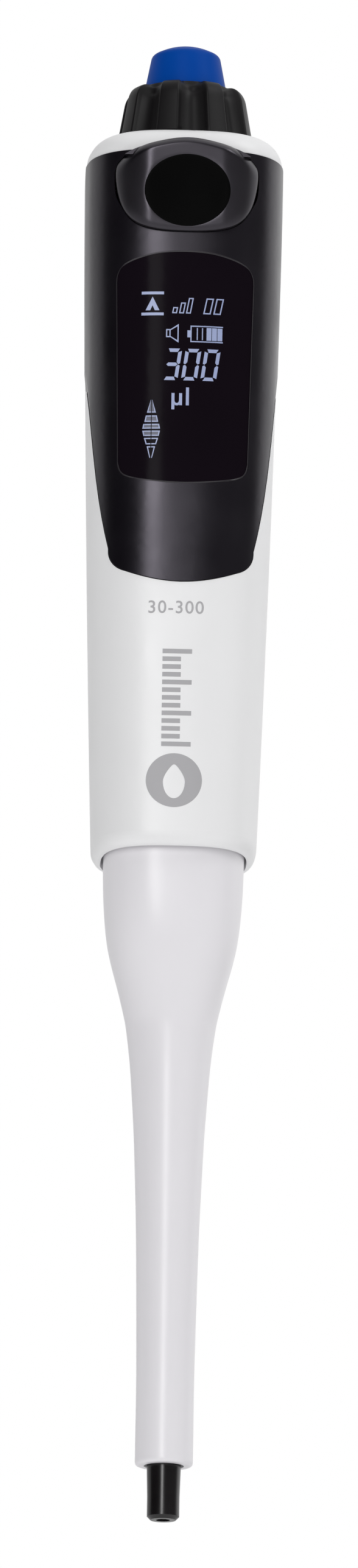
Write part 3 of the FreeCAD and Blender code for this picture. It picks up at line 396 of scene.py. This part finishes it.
# ---- trigger ------------------------------------------------------------------------------------
TRIGGER_HALF = [(0, 224.4), (5.8, 224.8), (9.2, 226.4), (11.3, 229.6), (12.2, 234.6), (11.4, 237.1),
                (7.4, 239.3), (0, 240.7)]
TRIGGER_GROWTH = (1.015, 1.025)     # sideways, and downwards below the middle
TRIGGER_MIDDLE = (0.0, 231.2)
TRIGGER_FACE_Y, TRIGGER_FACE_FOOT, TRIGGER_FACE_RISE = -17.4, 223.5, 16.1
TRIGGER_LEAN, TRIGGER_BOW = 3.2, 0.5    # how far the face comes forward towards its top, and its curve
FLANK_START, FLANK_FALL, FLANK_POWER = 6.2, 4.3, 1.9
PAD_HALF = (7.6, 6.3)
PAD_DISH, PAD_POWER = 1.3, 1.3
PLUG_TOP, PLUG_BACK, LIP_BACK = 237.6, -13.7, -17.95
PLUG_HOLLOW, HOLLOW_SHARE = -15.0, 0.86
LIP_FALL, LIP_POWER = 1.2, 1.6      # how far the lip's upper edge rounds back, and how
LIP_START, LIP_SPAN = 234.5, 4
EDGE_START, EDGE_ROUND = 0.86, 0.4


def trigger_face(x, z, nearness):
    """Depth of the trigger's face; nearness runs from 0 at its middle to 1 at its outline."""
    rise = (z - TRIGGER_FACE_FOOT) / TRIGGER_FACE_RISE
    y = TRIGGER_FACE_Y - TRIGGER_LEAN * rise + TRIGGER_BOW * rise * rise
    y += FLANK_FALL * max((abs(x) - FLANK_START) / FLANK_START, 0) ** FLANK_POWER
    ring = math.hypot(x / PAD_HALF[0], (z - TRIGGER_MIDDLE[1]) / PAD_HALF[1])
    y += PAD_DISH * max(1 - ring * ring, 0) ** PAD_POWER
    edge = min(max((nearness - EDGE_START) / (1 - EDGE_START), 0), 1)
    y += LIP_FALL * edge ** LIP_POWER * eased((z - LIP_START) / LIP_SPAN)
    return y + EDGE_ROUND * (1 - math.sqrt(max(1 - edge * edge, 0)))


def trigger_outline():
    left = [(-x, z) for x, z in reversed(TRIGGER_HALF[1:-1])]
    wide, deep = TRIGGER_GROWTH
    middle = TRIGGER_MIDDLE[1]
    grown = [(x * wide, middle + (z - middle) * (deep if z < middle else 1)) for x, z in TRIGGER_HALF + left]
    return flowing(grown, 9, closed=True)


def make_trigger():
    """A curved face with a lip that overhangs the cover, and a hollow plug behind it."""
    outline = trigger_outline()
    mx, mz = TRIGGER_MIDDLE
    # The face's rings lie closer together near its outline, where it rounds off.
    shares = [0.02] + [i / 26 for i in range(1, 23)] + [0.87, 0.9, 0.93, 0.955, 0.975, 0.99, 1.0]
    rings = []
    for share in sorted(shares):
        flat = [(mx + (x - mx) * share, mz + (z - mz) * share) for x, z in outline]
        rings.append([(x, trigger_face(x, z, share), z) for x, z in flat])
    backs = [LIP_BACK if z > PLUG_TOP else PLUG_BACK for x, z in outline]
    rings.append([(x, y, z) for (x, z), y in zip(outline, backs)])
    plug = [(x, min(z, PLUG_TOP)) for x, z in outline]
    rings.append([(x, y, z) for (x, z), y in zip(plug, backs)])
    rings.append([(x, PLUG_BACK, z) for x, z in plug])
    for y in (PLUG_BACK, PLUG_HOLLOW):
        rings.append([(mx + (x - mx) * HOLLOW_SHARE, y, mz + (z - mz) * HOLLOW_SHARE) for x, z in plug])
    form = skin(rings)
    bmesh.ops.remove_doubles(form, verts=form.verts, dist=1e-4)
    finish_piece("trigger_cap", form, "trigger_black", "trigger", 60, "trigger_button")


def make_dark_reflection_patch():
    """A near-black oval with almost no shine over the trigger's dished middle: a painted dark reflection of
    the dim room in front.
    """
    mx, mz = TRIGGER_MIDDLE
    proud, segments = 0.06, 96
    # Share of the oval and depth below its face: the face, its rounded edge, and the underside.
    steps = [(0.02, 0)] + [(i / 12, 0) for i in range(1, 12)]
    steps += [(0.97, 0.01), (0.985, 0.06), (0.98, 0.4), (0.02, 0.4)]
    rings = []
    for share, sink in steps:
        ring = []
        for i in range(segments):
            angle = 2 * math.pi * i / segments
            x = mx + PAD_HALF[0] * share * math.cos(angle)
            z = mz + PAD_HALF[1] * share * math.sin(angle)
            ring.append((x, trigger_face(x, z, 0) - proud + sink, z))
        rings.append(ring)
    finish_piece("trigger_painted_reflection", skin(rings), "painted_reflection_black", "trigger", 50)


# ---- ejector sleeve -----------------------------------------------------------------------------
NOSE = [(5.0, 10.1), (5.0, 14), (5.0, 25), (5.25, 41), (5.5, 52), (5.9, 62.7), (6.15, 68), (6.5, 73.4),
        (6.9, 78.8), (7.3, 82.6), (7.78, 86.2)]
SHOULDER = [(7.78, 86.2), (8.3, 88.8), (9.3, 92.9), (10.65, 98), (11.4, 101.9), (11.9, 107), (12.15, 113),
            (12.2, 122)]
SLEEVE_WIDTHS = (7.78, 12.2)
SLEEVE_DEPTH = 13.9
SLEEVE_WALL = 1.1
SLEEVE_BOTTOM, SLEEVE_STEP = 9.4, 12.5      # the mouth is narrower below the step
SLEEVE_MOUTH_R, SLEEVE_MOUTH_BREAK = 3.3, (0.15, 0.3)
SLEEVE_EDGE_R = 4.3     # where the rounded lower edge starts
SLEEVE_SEGMENTS = 120


def sleeve_ring(half, z, inset):
    """A round section low down that turns into the grip's rounded oval at the top."""
    share = min(max((half - SLEEVE_WIDTHS[0]) / (SLEEVE_WIDTHS[1] - SLEEVE_WIDTHS[0]), 0), 1)
    depth = half + (SLEEVE_DEPTH - SLEEVE_WIDTHS[1]) * share
    ring = []
    for i in range(SLEEVE_SEGMENTS):
        angle = 2 * math.pi * i / SLEEVE_SEGMENTS
        c, s = math.sin(angle), -math.cos(angle)
        power = 2 + (0.9 if s < 0 else 0.4) * share
        x = (half - inset) * signed_power(c, 2 / power)
        y = (depth - inset) * signed_power(s, 2 / power)
        ring.append((x, y, z))
    return ring


def make_sleeve():
    outer = rounded_corner((SLEEVE_EDGE_R, SLEEVE_BOTTOM), (NOSE[0][0], SLEEVE_BOTTOM), NOSE[0], 6)[:-1]
    outer += flowing(NOSE + SHOULDER[1:], 6)
    inner = [(NOSE[0][0], SLEEVE_STEP)] + NOSE[2:] + SHOULDER[1:]
    out, up = SLEEVE_MOUTH_BREAK
    mouth = [(SLEEVE_MOUTH_R, SLEEVE_STEP), (SLEEVE_MOUTH_R, SLEEVE_BOTTOM + up),
             (SLEEVE_MOUTH_R + out, SLEEVE_BOTTOM)]
    rings = [sleeve_ring(half, z, 0) for half, z in outer]
    rings += [sleeve_ring(half, z, SLEEVE_WALL) for half, z in reversed(inner)]
    rings += [sleeve_ring(half, z, 0) for half, z in mouth]
    finish_piece("ejector_shell", skin(rings, closed=True), "sleeve_white", "ejector", 40, "ejector_sleeve")


# ---- finger hook --------------------------------------------------------------------------------
HOOK_ROOT = 18.6        # depth of the housing's back at the hook
HOOK_HALF = 7.95
# Upper edge and lower edge, each as distance behind the root and height, and the share of the width.
HOOK_SECTIONS = [
    (-2.3, 214.3, 1.6, 214.1, 0.9), (-2.3, 214.8, 2.7, 214.4, 0.97), (-2.3, 216, 3.05, 215.4, 1),
    (-2.3, 222, 3.2, 221, 1), (-2.3, 228, 3.6, 225.2, 1), (-2.3, 233, 4.6, 227.7, 1),
    (-1.0, 235.9, 6.3, 229.2, 1), (4, 235.95, 8.8, 229.9, 1), (9.5, 235.4, 11.6, 229.7, 1),
    (14, 234.1, 14.3, 228.5, 0.99), (18, 231.9, 16.6, 227.0, 0.96), (20.8, 229.1, 18.4, 225.5, 0.9),
    (22.6, 226.3, 19.7, 224.5, 0.8), (22.8, 225.3, 20.5, 224.0, 0.7), (22.3, 224.5, 21.2, 224.0, 0.5)]
HOOK_SEGMENTS = 64
HOOK_ROUNDING = (0.42, 0.62)    # smaller is squarer: across, and from edge to edge


def hook_section(upper_y, upper_z, lower_y, lower_z, share):
    """A rounded oblong between the hook's upper and lower edges."""
    ring = []
    for i in range(HOOK_SEGMENTS):
        angle = 2 * math.pi * i / HOOK_SEGMENTS
        across = HOOK_HALF * share * signed_power(math.cos(angle), HOOK_ROUNDING[0])
        t = 0.5 + 0.5 * signed_power(math.sin(angle), HOOK_ROUNDING[1])
        y = HOOK_ROOT + lower_y + (upper_y - lower_y) * t
        ring.append((across, y, lower_z + (upper_z - lower_z) * t))
    return ring


def make_finger_hook():
    rings = [hook_section(*section) for section in flowing(HOOK_SECTIONS, 5)]
    finish_piece("hook_rest", skin(rings), "housing_white", "handle", 60, "finger_hook")


# ---- springs ------------------------------------------------------------------------------------
BUTTON_SPRING = (3.85, 0.3)     # radius of the coil, radius of the wire
BUTTON_SPRING_TURNS = 6
SPRING_FOOT, SPRING_TOP = 243.5, 257.6
SWITCH_SPRING = (1.3, 0.175)
SWITCH_SPRING_TURNS = 4
SWITCH_SPRING_FOOT, SWITCH_SPRING_TIP = -11.0, -15.0
SWITCH_SPRING_X, SWITCH_SPRING_Z = 5.5, 233.0


def make_button_spring():
    """The coil under the push button, drawn at rest length; nothing here shortens it as the button goes
    down.
    """
    def place(x, y, h):
        return x, y, h
    rings = coil_rings(*BUTTON_SPRING, SPRING_FOOT, SPRING_TOP, BUTTON_SPRING_TURNS, place)
    spring = finish_piece("return_spring", skin(rings), "steel", "handle", 50, "ejector_spring")
    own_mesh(spring)


def make_switch_springs():
    """The two coils behind the trigger, drawn at rest length; nothing here shortens them as it tilts in."""
    form = bmesh.new()
    length = SWITCH_SPRING_FOOT - SWITCH_SPRING_TIP
    for side in (-SWITCH_SPRING_X, SWITCH_SPRING_X):
        def place(x, y, h):
            return side + x, SWITCH_SPRING_FOOT - h, SWITCH_SPRING_Z + y
        skin(coil_rings(*SWITCH_SPRING, 0, length, SWITCH_SPRING_TURNS, place), form=form)
    pair = finish_piece("switch_springs", form, "steel", "handle", 50, "trigger_springs")
    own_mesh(pair)


# ---- tools for flat graphics --------------------------------------------------------------------
FAR_FRONT = -60.0
INWARD = Vector((0, 1, 0))
LAYER = 0.035           # how far a graphic stands off the surface
FILL_LAYER = 0.02       # the same for a fill, so that its outline stays on top
LAYER_SINK = 0.02       # how far its underside is sunk into the surface


def surface_of(node):
    mesh = NODES[node].data
    points = [v.co / MM for v in mesh.vertices]
    return BVHTree.FromPolygons(points, [list(p.vertices) for p in mesh.polygons])


def depth_at(tree, x, z):
    """Where the surface is, seen from the front."""
    return tree.ray_cast(Vector((x, FAR_FRONT, z)), INWARD)[0].y


def lay_on(name, form, node, material, lift=LAYER, cell=0.8):
    """Drapes flat shapes, drawn in x and z and cut into cells, over the front of a node as a thin layer."""
    bmesh.ops.triangulate(form, faces=form.faces)
    low = [min(v.co[k] for v in form.verts) for k in (0, 2)]
    high = [max(v.co[k] for v in form.verts) for k in (0, 2)]
    for axis, normal in ((0, (1, 0, 0)), (1, (0, 0, 1))):
        for i in range(1, math.ceil((high[axis] - low[axis]) / cell)):
            at = [0, 0, 0]
            at[2 * axis] = low[axis] + i * cell
            everything = form.verts[:] + form.edges[:] + form.faces[:]
            bmesh.ops.bisect_plane(form, geom=everything, plane_co=at, plane_no=normal)
    tree = surface_of(node)
    for vert in form.verts:
        vert.co.y = depth_at(tree, vert.co.x, vert.co.z) - lift
    top = bmesh.ops.extrude_face_region(form, geom=form.faces[:], use_keep_orig=True)
    for item in top["geom"]:
        if isinstance(item, bmesh.types.BMVert):
            item.co.y += lift + LAYER_SINK
    finish_piece(name, form, material, "handle", 30)


def shapes(outlines):
    """Flat faces in the x-z plane, one for each outline."""
    form = bmesh.new()
    for outline in outlines:
        form.faces.new([form.verts.new((x, 0, z)) for x, z in outline])
    return form


def bar(x0, x1, z0, z1, slant=0.0):
    """A rectangle, leaning to the right by slant per unit of height above z0."""
    lean = slant * (z1 - z0)
    return [(x0, z0), (x1, z0), (x1 + lean, z1), (x0 + lean, z1)]


def frame_of(x0, x1, z0, z1, line, slant=0.0):
    """The four strokes of a rectangle."""
    foot = slant * line
    head = slant * (z1 - z0 - line)
    return [bar(x0, x1, z0, z0 + line, slant),
            bar(x0 + head, x1 + head, z1 - line, z1, slant),
            bar(x0 + foot, x0 + line + foot, z0 + line, z1 - line, slant),
            bar(x1 - line + foot, x1 + foot, z0 + line, z1 - line, slant)]


def letters(text, size, x, z, spread, weight):
    """Flat outlines of figures, lower left corner at x, z; weight thickens the strokes."""
    curve = bpy.data.curves.new("figures", "FONT")
    curve.body = text
    curve.size = size
    curve.space_character = spread
    curve.offset = weight
    holder = bpy.data.objects.new("figures", curve)
    bpy.context.scene.collection.objects.link(holder)
    bpy.context.view_layer.update()
    mesh = bpy.data.meshes.new_from_object(holder.evaluated_get(bpy.context.evaluated_depsgraph_get()))
    form = bmesh.new()
    form.from_mesh(mesh)
    for vert in form.verts:
        vert.co = (x + vert.co.x, 0, z + vert.co.y)
    bpy.data.objects.remove(holder)
    bpy.data.curves.remove(curve)
    bpy.data.meshes.remove(mesh)
    return form


# ---- figures on the display ---------------------------------------------------------------------
LIT_STROKES = {"0": "abcdef", "3": "abcdg"}
DIGIT_SLANT = 0.14
DIGIT_GAP = 0.1
DIGIT_WIDTH, DIGIT_HEIGHT, DIGIT_LINE, DIGIT_PITCH = 2.75, 5.66, 0.62, 3.35
FIRST_DIGIT = (-3.95, 197.64)


def upright_stroke(left, side):
    """A lower upright of a digit; side is -1 for the left one and 1 for the right one."""
    right, line = left + DIGIT_LINE, DIGIT_LINE
    low, high, bite, cut = 0.05, DIGIT_HEIGHT / 2 - 0.06, line * 0.5, line * 0.6
    if side < 0:
        return [(left, low + cut), (right, low + line), (right, high - cut), (left + bite, high),
                (left, high - cut * 0.4)]
    return [(left, low + line), (right, low + cut), (right, high - cut * 0.4), (right - bite, high),
            (left, high - cut)]


def seven_segment(digit, x, z):
    """The lit strokes of one slanted digit whose lower left corner is x, z."""
    half, line, bite = DIGIT_HEIGHT / 2, DIGIT_LINE, DIGIT_LINE * 0.5
    outer = (bite + DIGIT_GAP, DIGIT_WIDTH - bite - DIGIT_GAP)
    inner = (line + DIGIT_GAP, DIGIT_WIDTH - line - DIGIT_GAP)
    left, right = upright_stroke(0, -1), upright_stroke(DIGIT_WIDTH - line, 1)
    foot = [(outer[0], 0), (outer[1], 0), (inner[1], line), (inner[0], line)]
    strokes = {
        "d": foot,
        "a": [(outer[0], DIGIT_HEIGHT), (inner[0], DIGIT_HEIGHT - line), (inner[1], DIGIT_HEIGHT - line),
              (outer[1], DIGIT_HEIGHT)],
        "g": [(outer[0], half), (inner[0], half - line / 2), (inner[1], half - line / 2),
              (outer[1], half), (inner[1], half + line / 2), (inner[0], half + line / 2)],
        "e": left,
        "c": right,
        "f": [(u, DIGIT_HEIGHT - v) for u, v in left],
        "b": [(u, DIGIT_HEIGHT - v) for u, v in right],
    }
    return [[(x + u + DIGIT_SLANT * v, z + v) for u, v in strokes[k]] for k in LIT_STROKES[digit]]


def reading():
    """The set volume."""
    strokes = []
    for i, digit in enumerate("300"):
        strokes += seven_segment(digit, FIRST_DIGIT[0] + DIGIT_PITCH * i, FIRST_DIGIT[1])
    return strokes


# ---- signs on the display -----------------------------------------------------------------------
def mode_sign():
    """An arrowhead between two bars."""
    return [bar(-7.6, -3.75, 212.95, 213.45), bar(-7.6, -3.75, 209.2, 209.7),
            [(-6.9, 210.1), (-5.7, 212.55), (-4.5, 210.1), (-5.3, 210.1), (-5.7, 211.0), (-6.1, 210.1)]]


def steps_sign():
    """Three frames, each taller than the one before."""
    strokes = []
    for i in range(3):
        strokes += frame_of(-2.3 + 1.2 * i, -1.45 + 1.2 * i, 209.6, 210.7 + 0.85 * i, 0.2, 0.18)
    return strokes


def pair_sign():
    """Two frames side by side."""
    strokes = []
    for i in range(2):
        strokes += frame_of(3.1 + 1.75 * i, 4.4 + 1.75 * i, 209.55, 212.4, 0.22, 0.2)
    return strokes


def speaker_sign():
    return frame_of(-3.28, -2.5, 205.3, 206.75, 0.2) + [
        [(-2.5, 206.55), (-2.5, 206.75), (-1.1, 207.7), (-1.1, 207.4)],
        [(-2.5, 205.5), (-1.1, 204.65), (-1.1, 204.35), (-2.5, 205.3)],
        bar(-1.3, -1.1, 204.65, 207.4)]


def battery_sign():
    """A battery outline with two thin cell marks and three full cells."""
    strokes = [bar(0.42, 0.95, 205.35, 206.6), bar(0.95, 6.6, 207.25, 207.45), bar(0.95, 6.6, 204.5, 204.7),
               bar(0.95, 1.15, 204.7, 207.25)]
    strokes += [bar(1.15 + 0.9 * i, 1.33 + 0.9 * i, 204.9, 207.05) for i in (1, 2)]
    strokes += [bar(3.75 + 0.95 * i, 4.6 + 0.95 * i, 204.85, 207.1) for i in range(3)]
    return strokes


GAUGE_X = -5.6
GAUGE_LINE, GAUGE_GAP = 0.2, 0.07
GAUGE_LEAST = 0.1       # a cross stroke shorter than this is left out
GAUGE_FILLED = 4        # bands, counted from the top
GAUGE_BANDS = [         # top, bottom, half width at the top and at the bottom
    (194.1, 191.8, 0.12, 0.78), (191.3, 190.15, 0.95, 1.2), (189.8, 188.95, 1.37, 1.53),
    (188.6, 187.65, 1.53, 1.32), (187.3, 186.15, 1.23, 0.89), (185.8, 183.75, 0.73, 0.22)]


def level_gauge():
    """Outlines and dim fills of a lozenge gauge."""
    line, gap = GAUGE_LINE, GAUGE_GAP
    strokes, fills = [], []
    for number, (top, low, wide_top, wide_low) in enumerate(GAUGE_BANDS):
        inner_low = max(wide_low - line, gap + 0.02)
        inner_top = max(wide_top - line, gap + 0.02)
        for side in (-1, 1):
            def at(u, z):
                return GAUGE_X + side * u, z

            def rung(width, foot):
                return [at(gap, foot), at(width, foot), at(width, foot + line), at(gap, foot + line)]

            strokes.append([at(inner_low, low), at(wide_low, low), at(wide_top, top), at(inner_top, top)])
            if inner_low > gap + GAUGE_LEAST:
                strokes.append(rung(inner_low, low))
            if inner_top > gap + GAUGE_LEAST:
                strokes.append(rung(inner_top, top - line))
            if number < GAUGE_FILLED:
                fills.append([at(gap, low + line), at(inner_low, low + line), at(inner_top, top - line),
                              at(gap, top - line)])
    return strokes, fills


def make_display_graphics():
    strokes, fills = level_gauge()
    signs = {
        "display_mode": shapes(mode_sign()),
        "display_steps": shapes(steps_sign()),
        "display_pair": shapes(pair_sign()),
        "display_sound": shapes(speaker_sign()),
        "display_charge": shapes(battery_sign()),
        "display_figures": shapes(reading()),
        "display_unit": letters("µl", size=4.5, x=-2.5, z=193.25, spread=1.05, weight=0.06),
        "display_level": shapes(strokes),
    }
    for name, form in signs.items():
        lay_on(name, form, "display_window", "lcd_light")
    lay_on("display_level_fill", shapes(fills), "display_window", "lcd_dim", lift=FILL_LAYER)


# ---- painted highlight on the edge of the window ------------------------------------------------
WINDOW_EDGE = [(0, 220.75), (4.6, 220.45), (8.6, 219.45), (10.95, 218.3), (11.8, 216.9), (11.98, 215.6),
               (11.97, 214.3), (11.77, 205), (11.55, 194), (11.37, 184.6), (11.32, 183.2), (10.6, 181.3),
               (8.3, 180.22), (4.2, 179.63), (0, 179.42)]
EDGE_HALF = 0.12
EDGE_LIFT, EDGE_SINK = 0.03, 0.05
EDGE_FEEL = 0.3         # the depths of window and cover are read this far to either side of the line


def make_window_edge_highlight():
    """A lighter grey strip where the window meets the cover: a painted highlight of the edge catching the
    light.
    """
    left = [(-x, z) for x, z in reversed(WINDOW_EDGE[1:-1])]
    outline = flowing(WINDOW_EDGE + left, 8, closed=True)
    glass, cover = surface_of("display_window"), surface_of("front_cover")
    rings = []
    for i, (x, z) in enumerate(outline):
        (x0, z0), (x1, z1) = outline[i - 1], outline[(i + 1) % len(outline)]
        size = math.hypot(x1 - x0, z1 - z0)
        nx, nz = (z0 - z1) / size, (x1 - x0) / size
        inner = depth_at(glass, x - nx * EDGE_FEEL, z - nz * EDGE_FEEL)
        outer = depth_at(cover, x + nx * EDGE_FEEL, z + nz * EDGE_FEEL)
        corners = ((-1, inner - EDGE_LIFT), (1, outer - EDGE_LIFT),
                   (1, outer + EDGE_SINK), (-1, inner + EDGE_SINK))
        rings.append([(x + side * nx * EDGE_HALF, y, z + side * nz * EDGE_HALF) for side, y in corners])
    finish_piece("painted_window_edge_highlight", skin(rings, closed=True), "painted_highlight_grey", "handle", 30)


# ---- prints on the grip -------------------------------------------------------------------------
SIGN_X, SIGN_Z = -0.7, 126.6
SIGN_HALF = (4.85, 4.75)
DROP_HALF, DROP_OFFSET = (1.9, 3.0), -0.2
SIGN_POINTS = 64
SCALE_BARS, SCALE_LOW, SCALE_PITCH, SCALE_LINE = 13, 132.6, 1.37, 0.8
SCALE_LEFT, SCALE_SHORT, SCALE_LONG = -3.0, 0.2, 2.1
SCALE_GROUP = 4         # every fourth bar is long


def droplet_sign():
    """A disc with a drop left open in its middle."""
    disc, drop = [], []
    for i in range(SIGN_POINTS):
        a = 2 * math.pi * i / SIGN_POINTS
        pinch = 1 - 0.5 * max(math.cos(a), 0) ** 1.5
        disc.append((SIGN_X + SIGN_HALF[0] * math.sin(a), SIGN_Z + SIGN_HALF[1] * math.cos(a)))
        drop.append((SIGN_X + DROP_HALF[0] * math.sin(a) * pinch,
                     SIGN_Z + DROP_OFFSET + DROP_HALF[1] * math.cos(a)))
    after = [(i + 1) % SIGN_POINTS for i in range(SIGN_POINTS)]
    form = shapes([[disc[i], disc[j], drop[j], drop[i]] for i, j in enumerate(after)])
    bmesh.ops.remove_doubles(form, verts=form.verts, dist=1e-4)
    return form


def scale_sign():
    """A column of graduation bars."""
    bars = []
    for i in range(SCALE_BARS):
        z = SCALE_LOW + SCALE_PITCH * i
        right = SCALE_LONG if i % SCALE_GROUP == 0 else SCALE_SHORT
        bars.append(bar(SCALE_LEFT, right, z, z + SCALE_LINE))
    return shapes(bars)


def make_prints():
    """The volume range and a plain droplet sign with a column of graduation bars."""
    figures = letters("30-300", size=3.15, x=-5.75, z=156.2, spread=1.12, weight=0.02)
    lay_on("range_print", figures, "housing", "print_grey", cell=0.6)
    lay_on("droplet_print", droplet_sign(), "housing", "print_grey", cell=0.9)
    lay_on("scale_print", scale_sign(), "housing", "print_grey", cell=0.9)


# ---- camera, floor and light --------------------------------------------------------------------
CAMERA_DISTANCE = 2.8
CAMERA_ELEVATION = math.radians(-12.5)
CAMERA_YAW = math.radians(-2.0)
CAMERA_ROLL = math.radians(0.9)
CAMERA_TARGET = Vector((0.00077, 0, 0.1296))
CAMERA_LENS = 370.4
FLOOR_Z, FLOOR_RADIUS = -0.66, 14
LIGHT_TARGET, LIGHT_DISTANCE = Vector((0, 0, 0.13)), 1.6
LIGHTS = {              # azimuth (0 in front, positive to the right), elevation, width, height, power
    "key": (-11.8, 15, 0.3, 1.1, 10.4),
    "fill": (62, 46, 0.6, 0.6, 5),
}


def outward(azimuth, elevation):
    """Unit vector from the pipette towards a place round it."""
    return Vector((math.sin(azimuth) * math.cos(elevation), -math.cos(azimuth) * math.cos(elevation),
                   math.sin(elevation)))


def make_camera():
    camera = bpy.data.objects.new("camera", bpy.data.cameras.new("camera"))
    bpy.context.scene.collection.objects.link(camera)
    away = outward(CAMERA_YAW, CAMERA_ELEVATION)
    camera.location = CAMERA_TARGET + away * CAMERA_DISTANCE
    camera.rotation_mode = "QUATERNION"
    camera.rotation_quaternion = (-away).to_track_quat("-Z", "Y") @ Quaternion((0, 0, 1), CAMERA_ROLL)
    camera.data.lens = CAMERA_LENS
    camera.data.clip_start = 0.05
    camera.data.clip_end = 60
    bpy.context.scene.camera = camera


def make_floor():
    mesh = bpy.data.meshes.new("floor")
    form = bmesh.new()
    bmesh.ops.create_circle(form, cap_ends=True, radius=FLOOR_RADIUS, segments=96)
    form.to_mesh(mesh)
    form.free()
    floor = bpy.data.objects.new("floor", mesh)
    floor.location = (0, 0, FLOOR_Z)
    bpy.context.scene.collection.objects.link(floor)
    mesh.materials.append(MATERIALS["floor_pale"])


def area_light(name, azimuth, elevation, width, height, power):
    """A soft box aimed at the middle of the pipette."""
    data = bpy.data.lights.new(name, "AREA")
    data.shape = "RECTANGLE"
    data.size = width
    data.size_y = height
    data.energy = power
    light = bpy.data.objects.new(name, data)
    out = outward(math.radians(azimuth), math.radians(elevation))
    light.location = LIGHT_TARGET + out * LIGHT_DISTANCE
    light.rotation_mode = "QUATERNION"
    light.rotation_quaternion = (-out).to_track_quat("-Z", "Y")
    light.visible_camera = False
    bpy.context.scene.collection.objects.link(light)


# Each row: an axis of the view direction, where on it the change starts and ends, and the two values.
WORLD_FRONT = ("X", -0.7, 0.9, 0.02, 0.16)
WORLD_BACK = ("X", -0.9, 0.9, 0.66, 1.12)
WORLD_BEHIND = ("Y", 0.05, 0.4, 0, 1)
WORLD_ABOVE = ("Z", 0.62, 0.9, 0, 1)


def make_world():
    """White surround behind and above the object, a dim room in front of it.  The camera sees white."""
    world = bpy.data.worlds.new("studio")
    bpy.context.scene.world = world
    world.use_nodes = True
    nodes, links = world.node_tree.nodes, world.node_tree.links
    split = nodes.new("ShaderNodeSeparateXYZ")
    links.new(nodes.new("ShaderNodeTexCoord").outputs["Generated"], split.inputs["Vector"])

    def ramp(axis, start, end, low, high):
        node = nodes.new("ShaderNodeMapRange")
        node.interpolation_type = "SMOOTHSTEP"
        node.inputs["From Min"].default_value = start
        node.inputs["From Max"].default_value = end
        node.inputs["To Min"].default_value = low
        node.inputs["To Max"].default_value = high
        links.new(split.outputs[axis], node.inputs["Value"])
        return node.outputs["Result"]

    def larger(first, second):
        node = nodes.new("ShaderNodeMath")
        node.operation = "MAXIMUM"
        links.new(first, node.inputs[0])
        links.new(second, node.inputs[1])
        return node.outputs["Value"]

    mix = nodes.new("ShaderNodeMix")
    mix.data_type = "FLOAT"
    links.new(larger(ramp(*WORLD_BEHIND), ramp(*WORLD_ABOVE)), mix.inputs["Factor"])
    links.new(ramp(*WORLD_FRONT), mix.inputs["A"])
    links.new(ramp(*WORLD_BACK), mix.inputs["B"])
    strength = larger(mix.outputs["Result"], nodes.new("ShaderNodeLightPath").outputs["Is Camera Ray"])
    links.new(strength, nodes["Background"].inputs["Strength"])
    nodes["Background"].inputs["Color"].default_value = (1, 1, 1, 1)


dress_frame()
make_dial()
make_push_button()
make_trigger()
make_dark_reflection_patch()
make_sleeve()
make_finger_hook()
make_button_spring()
make_switch_springs()
make_display_graphics()
make_window_edge_highlight()
make_prints()
make_camera()
make_floor()
make_world()
for light_name, light_row in LIGHTS.items():
    area_light(light_name, *light_row)
bpy.context.scene.view_settings.view_transform = "Standard"
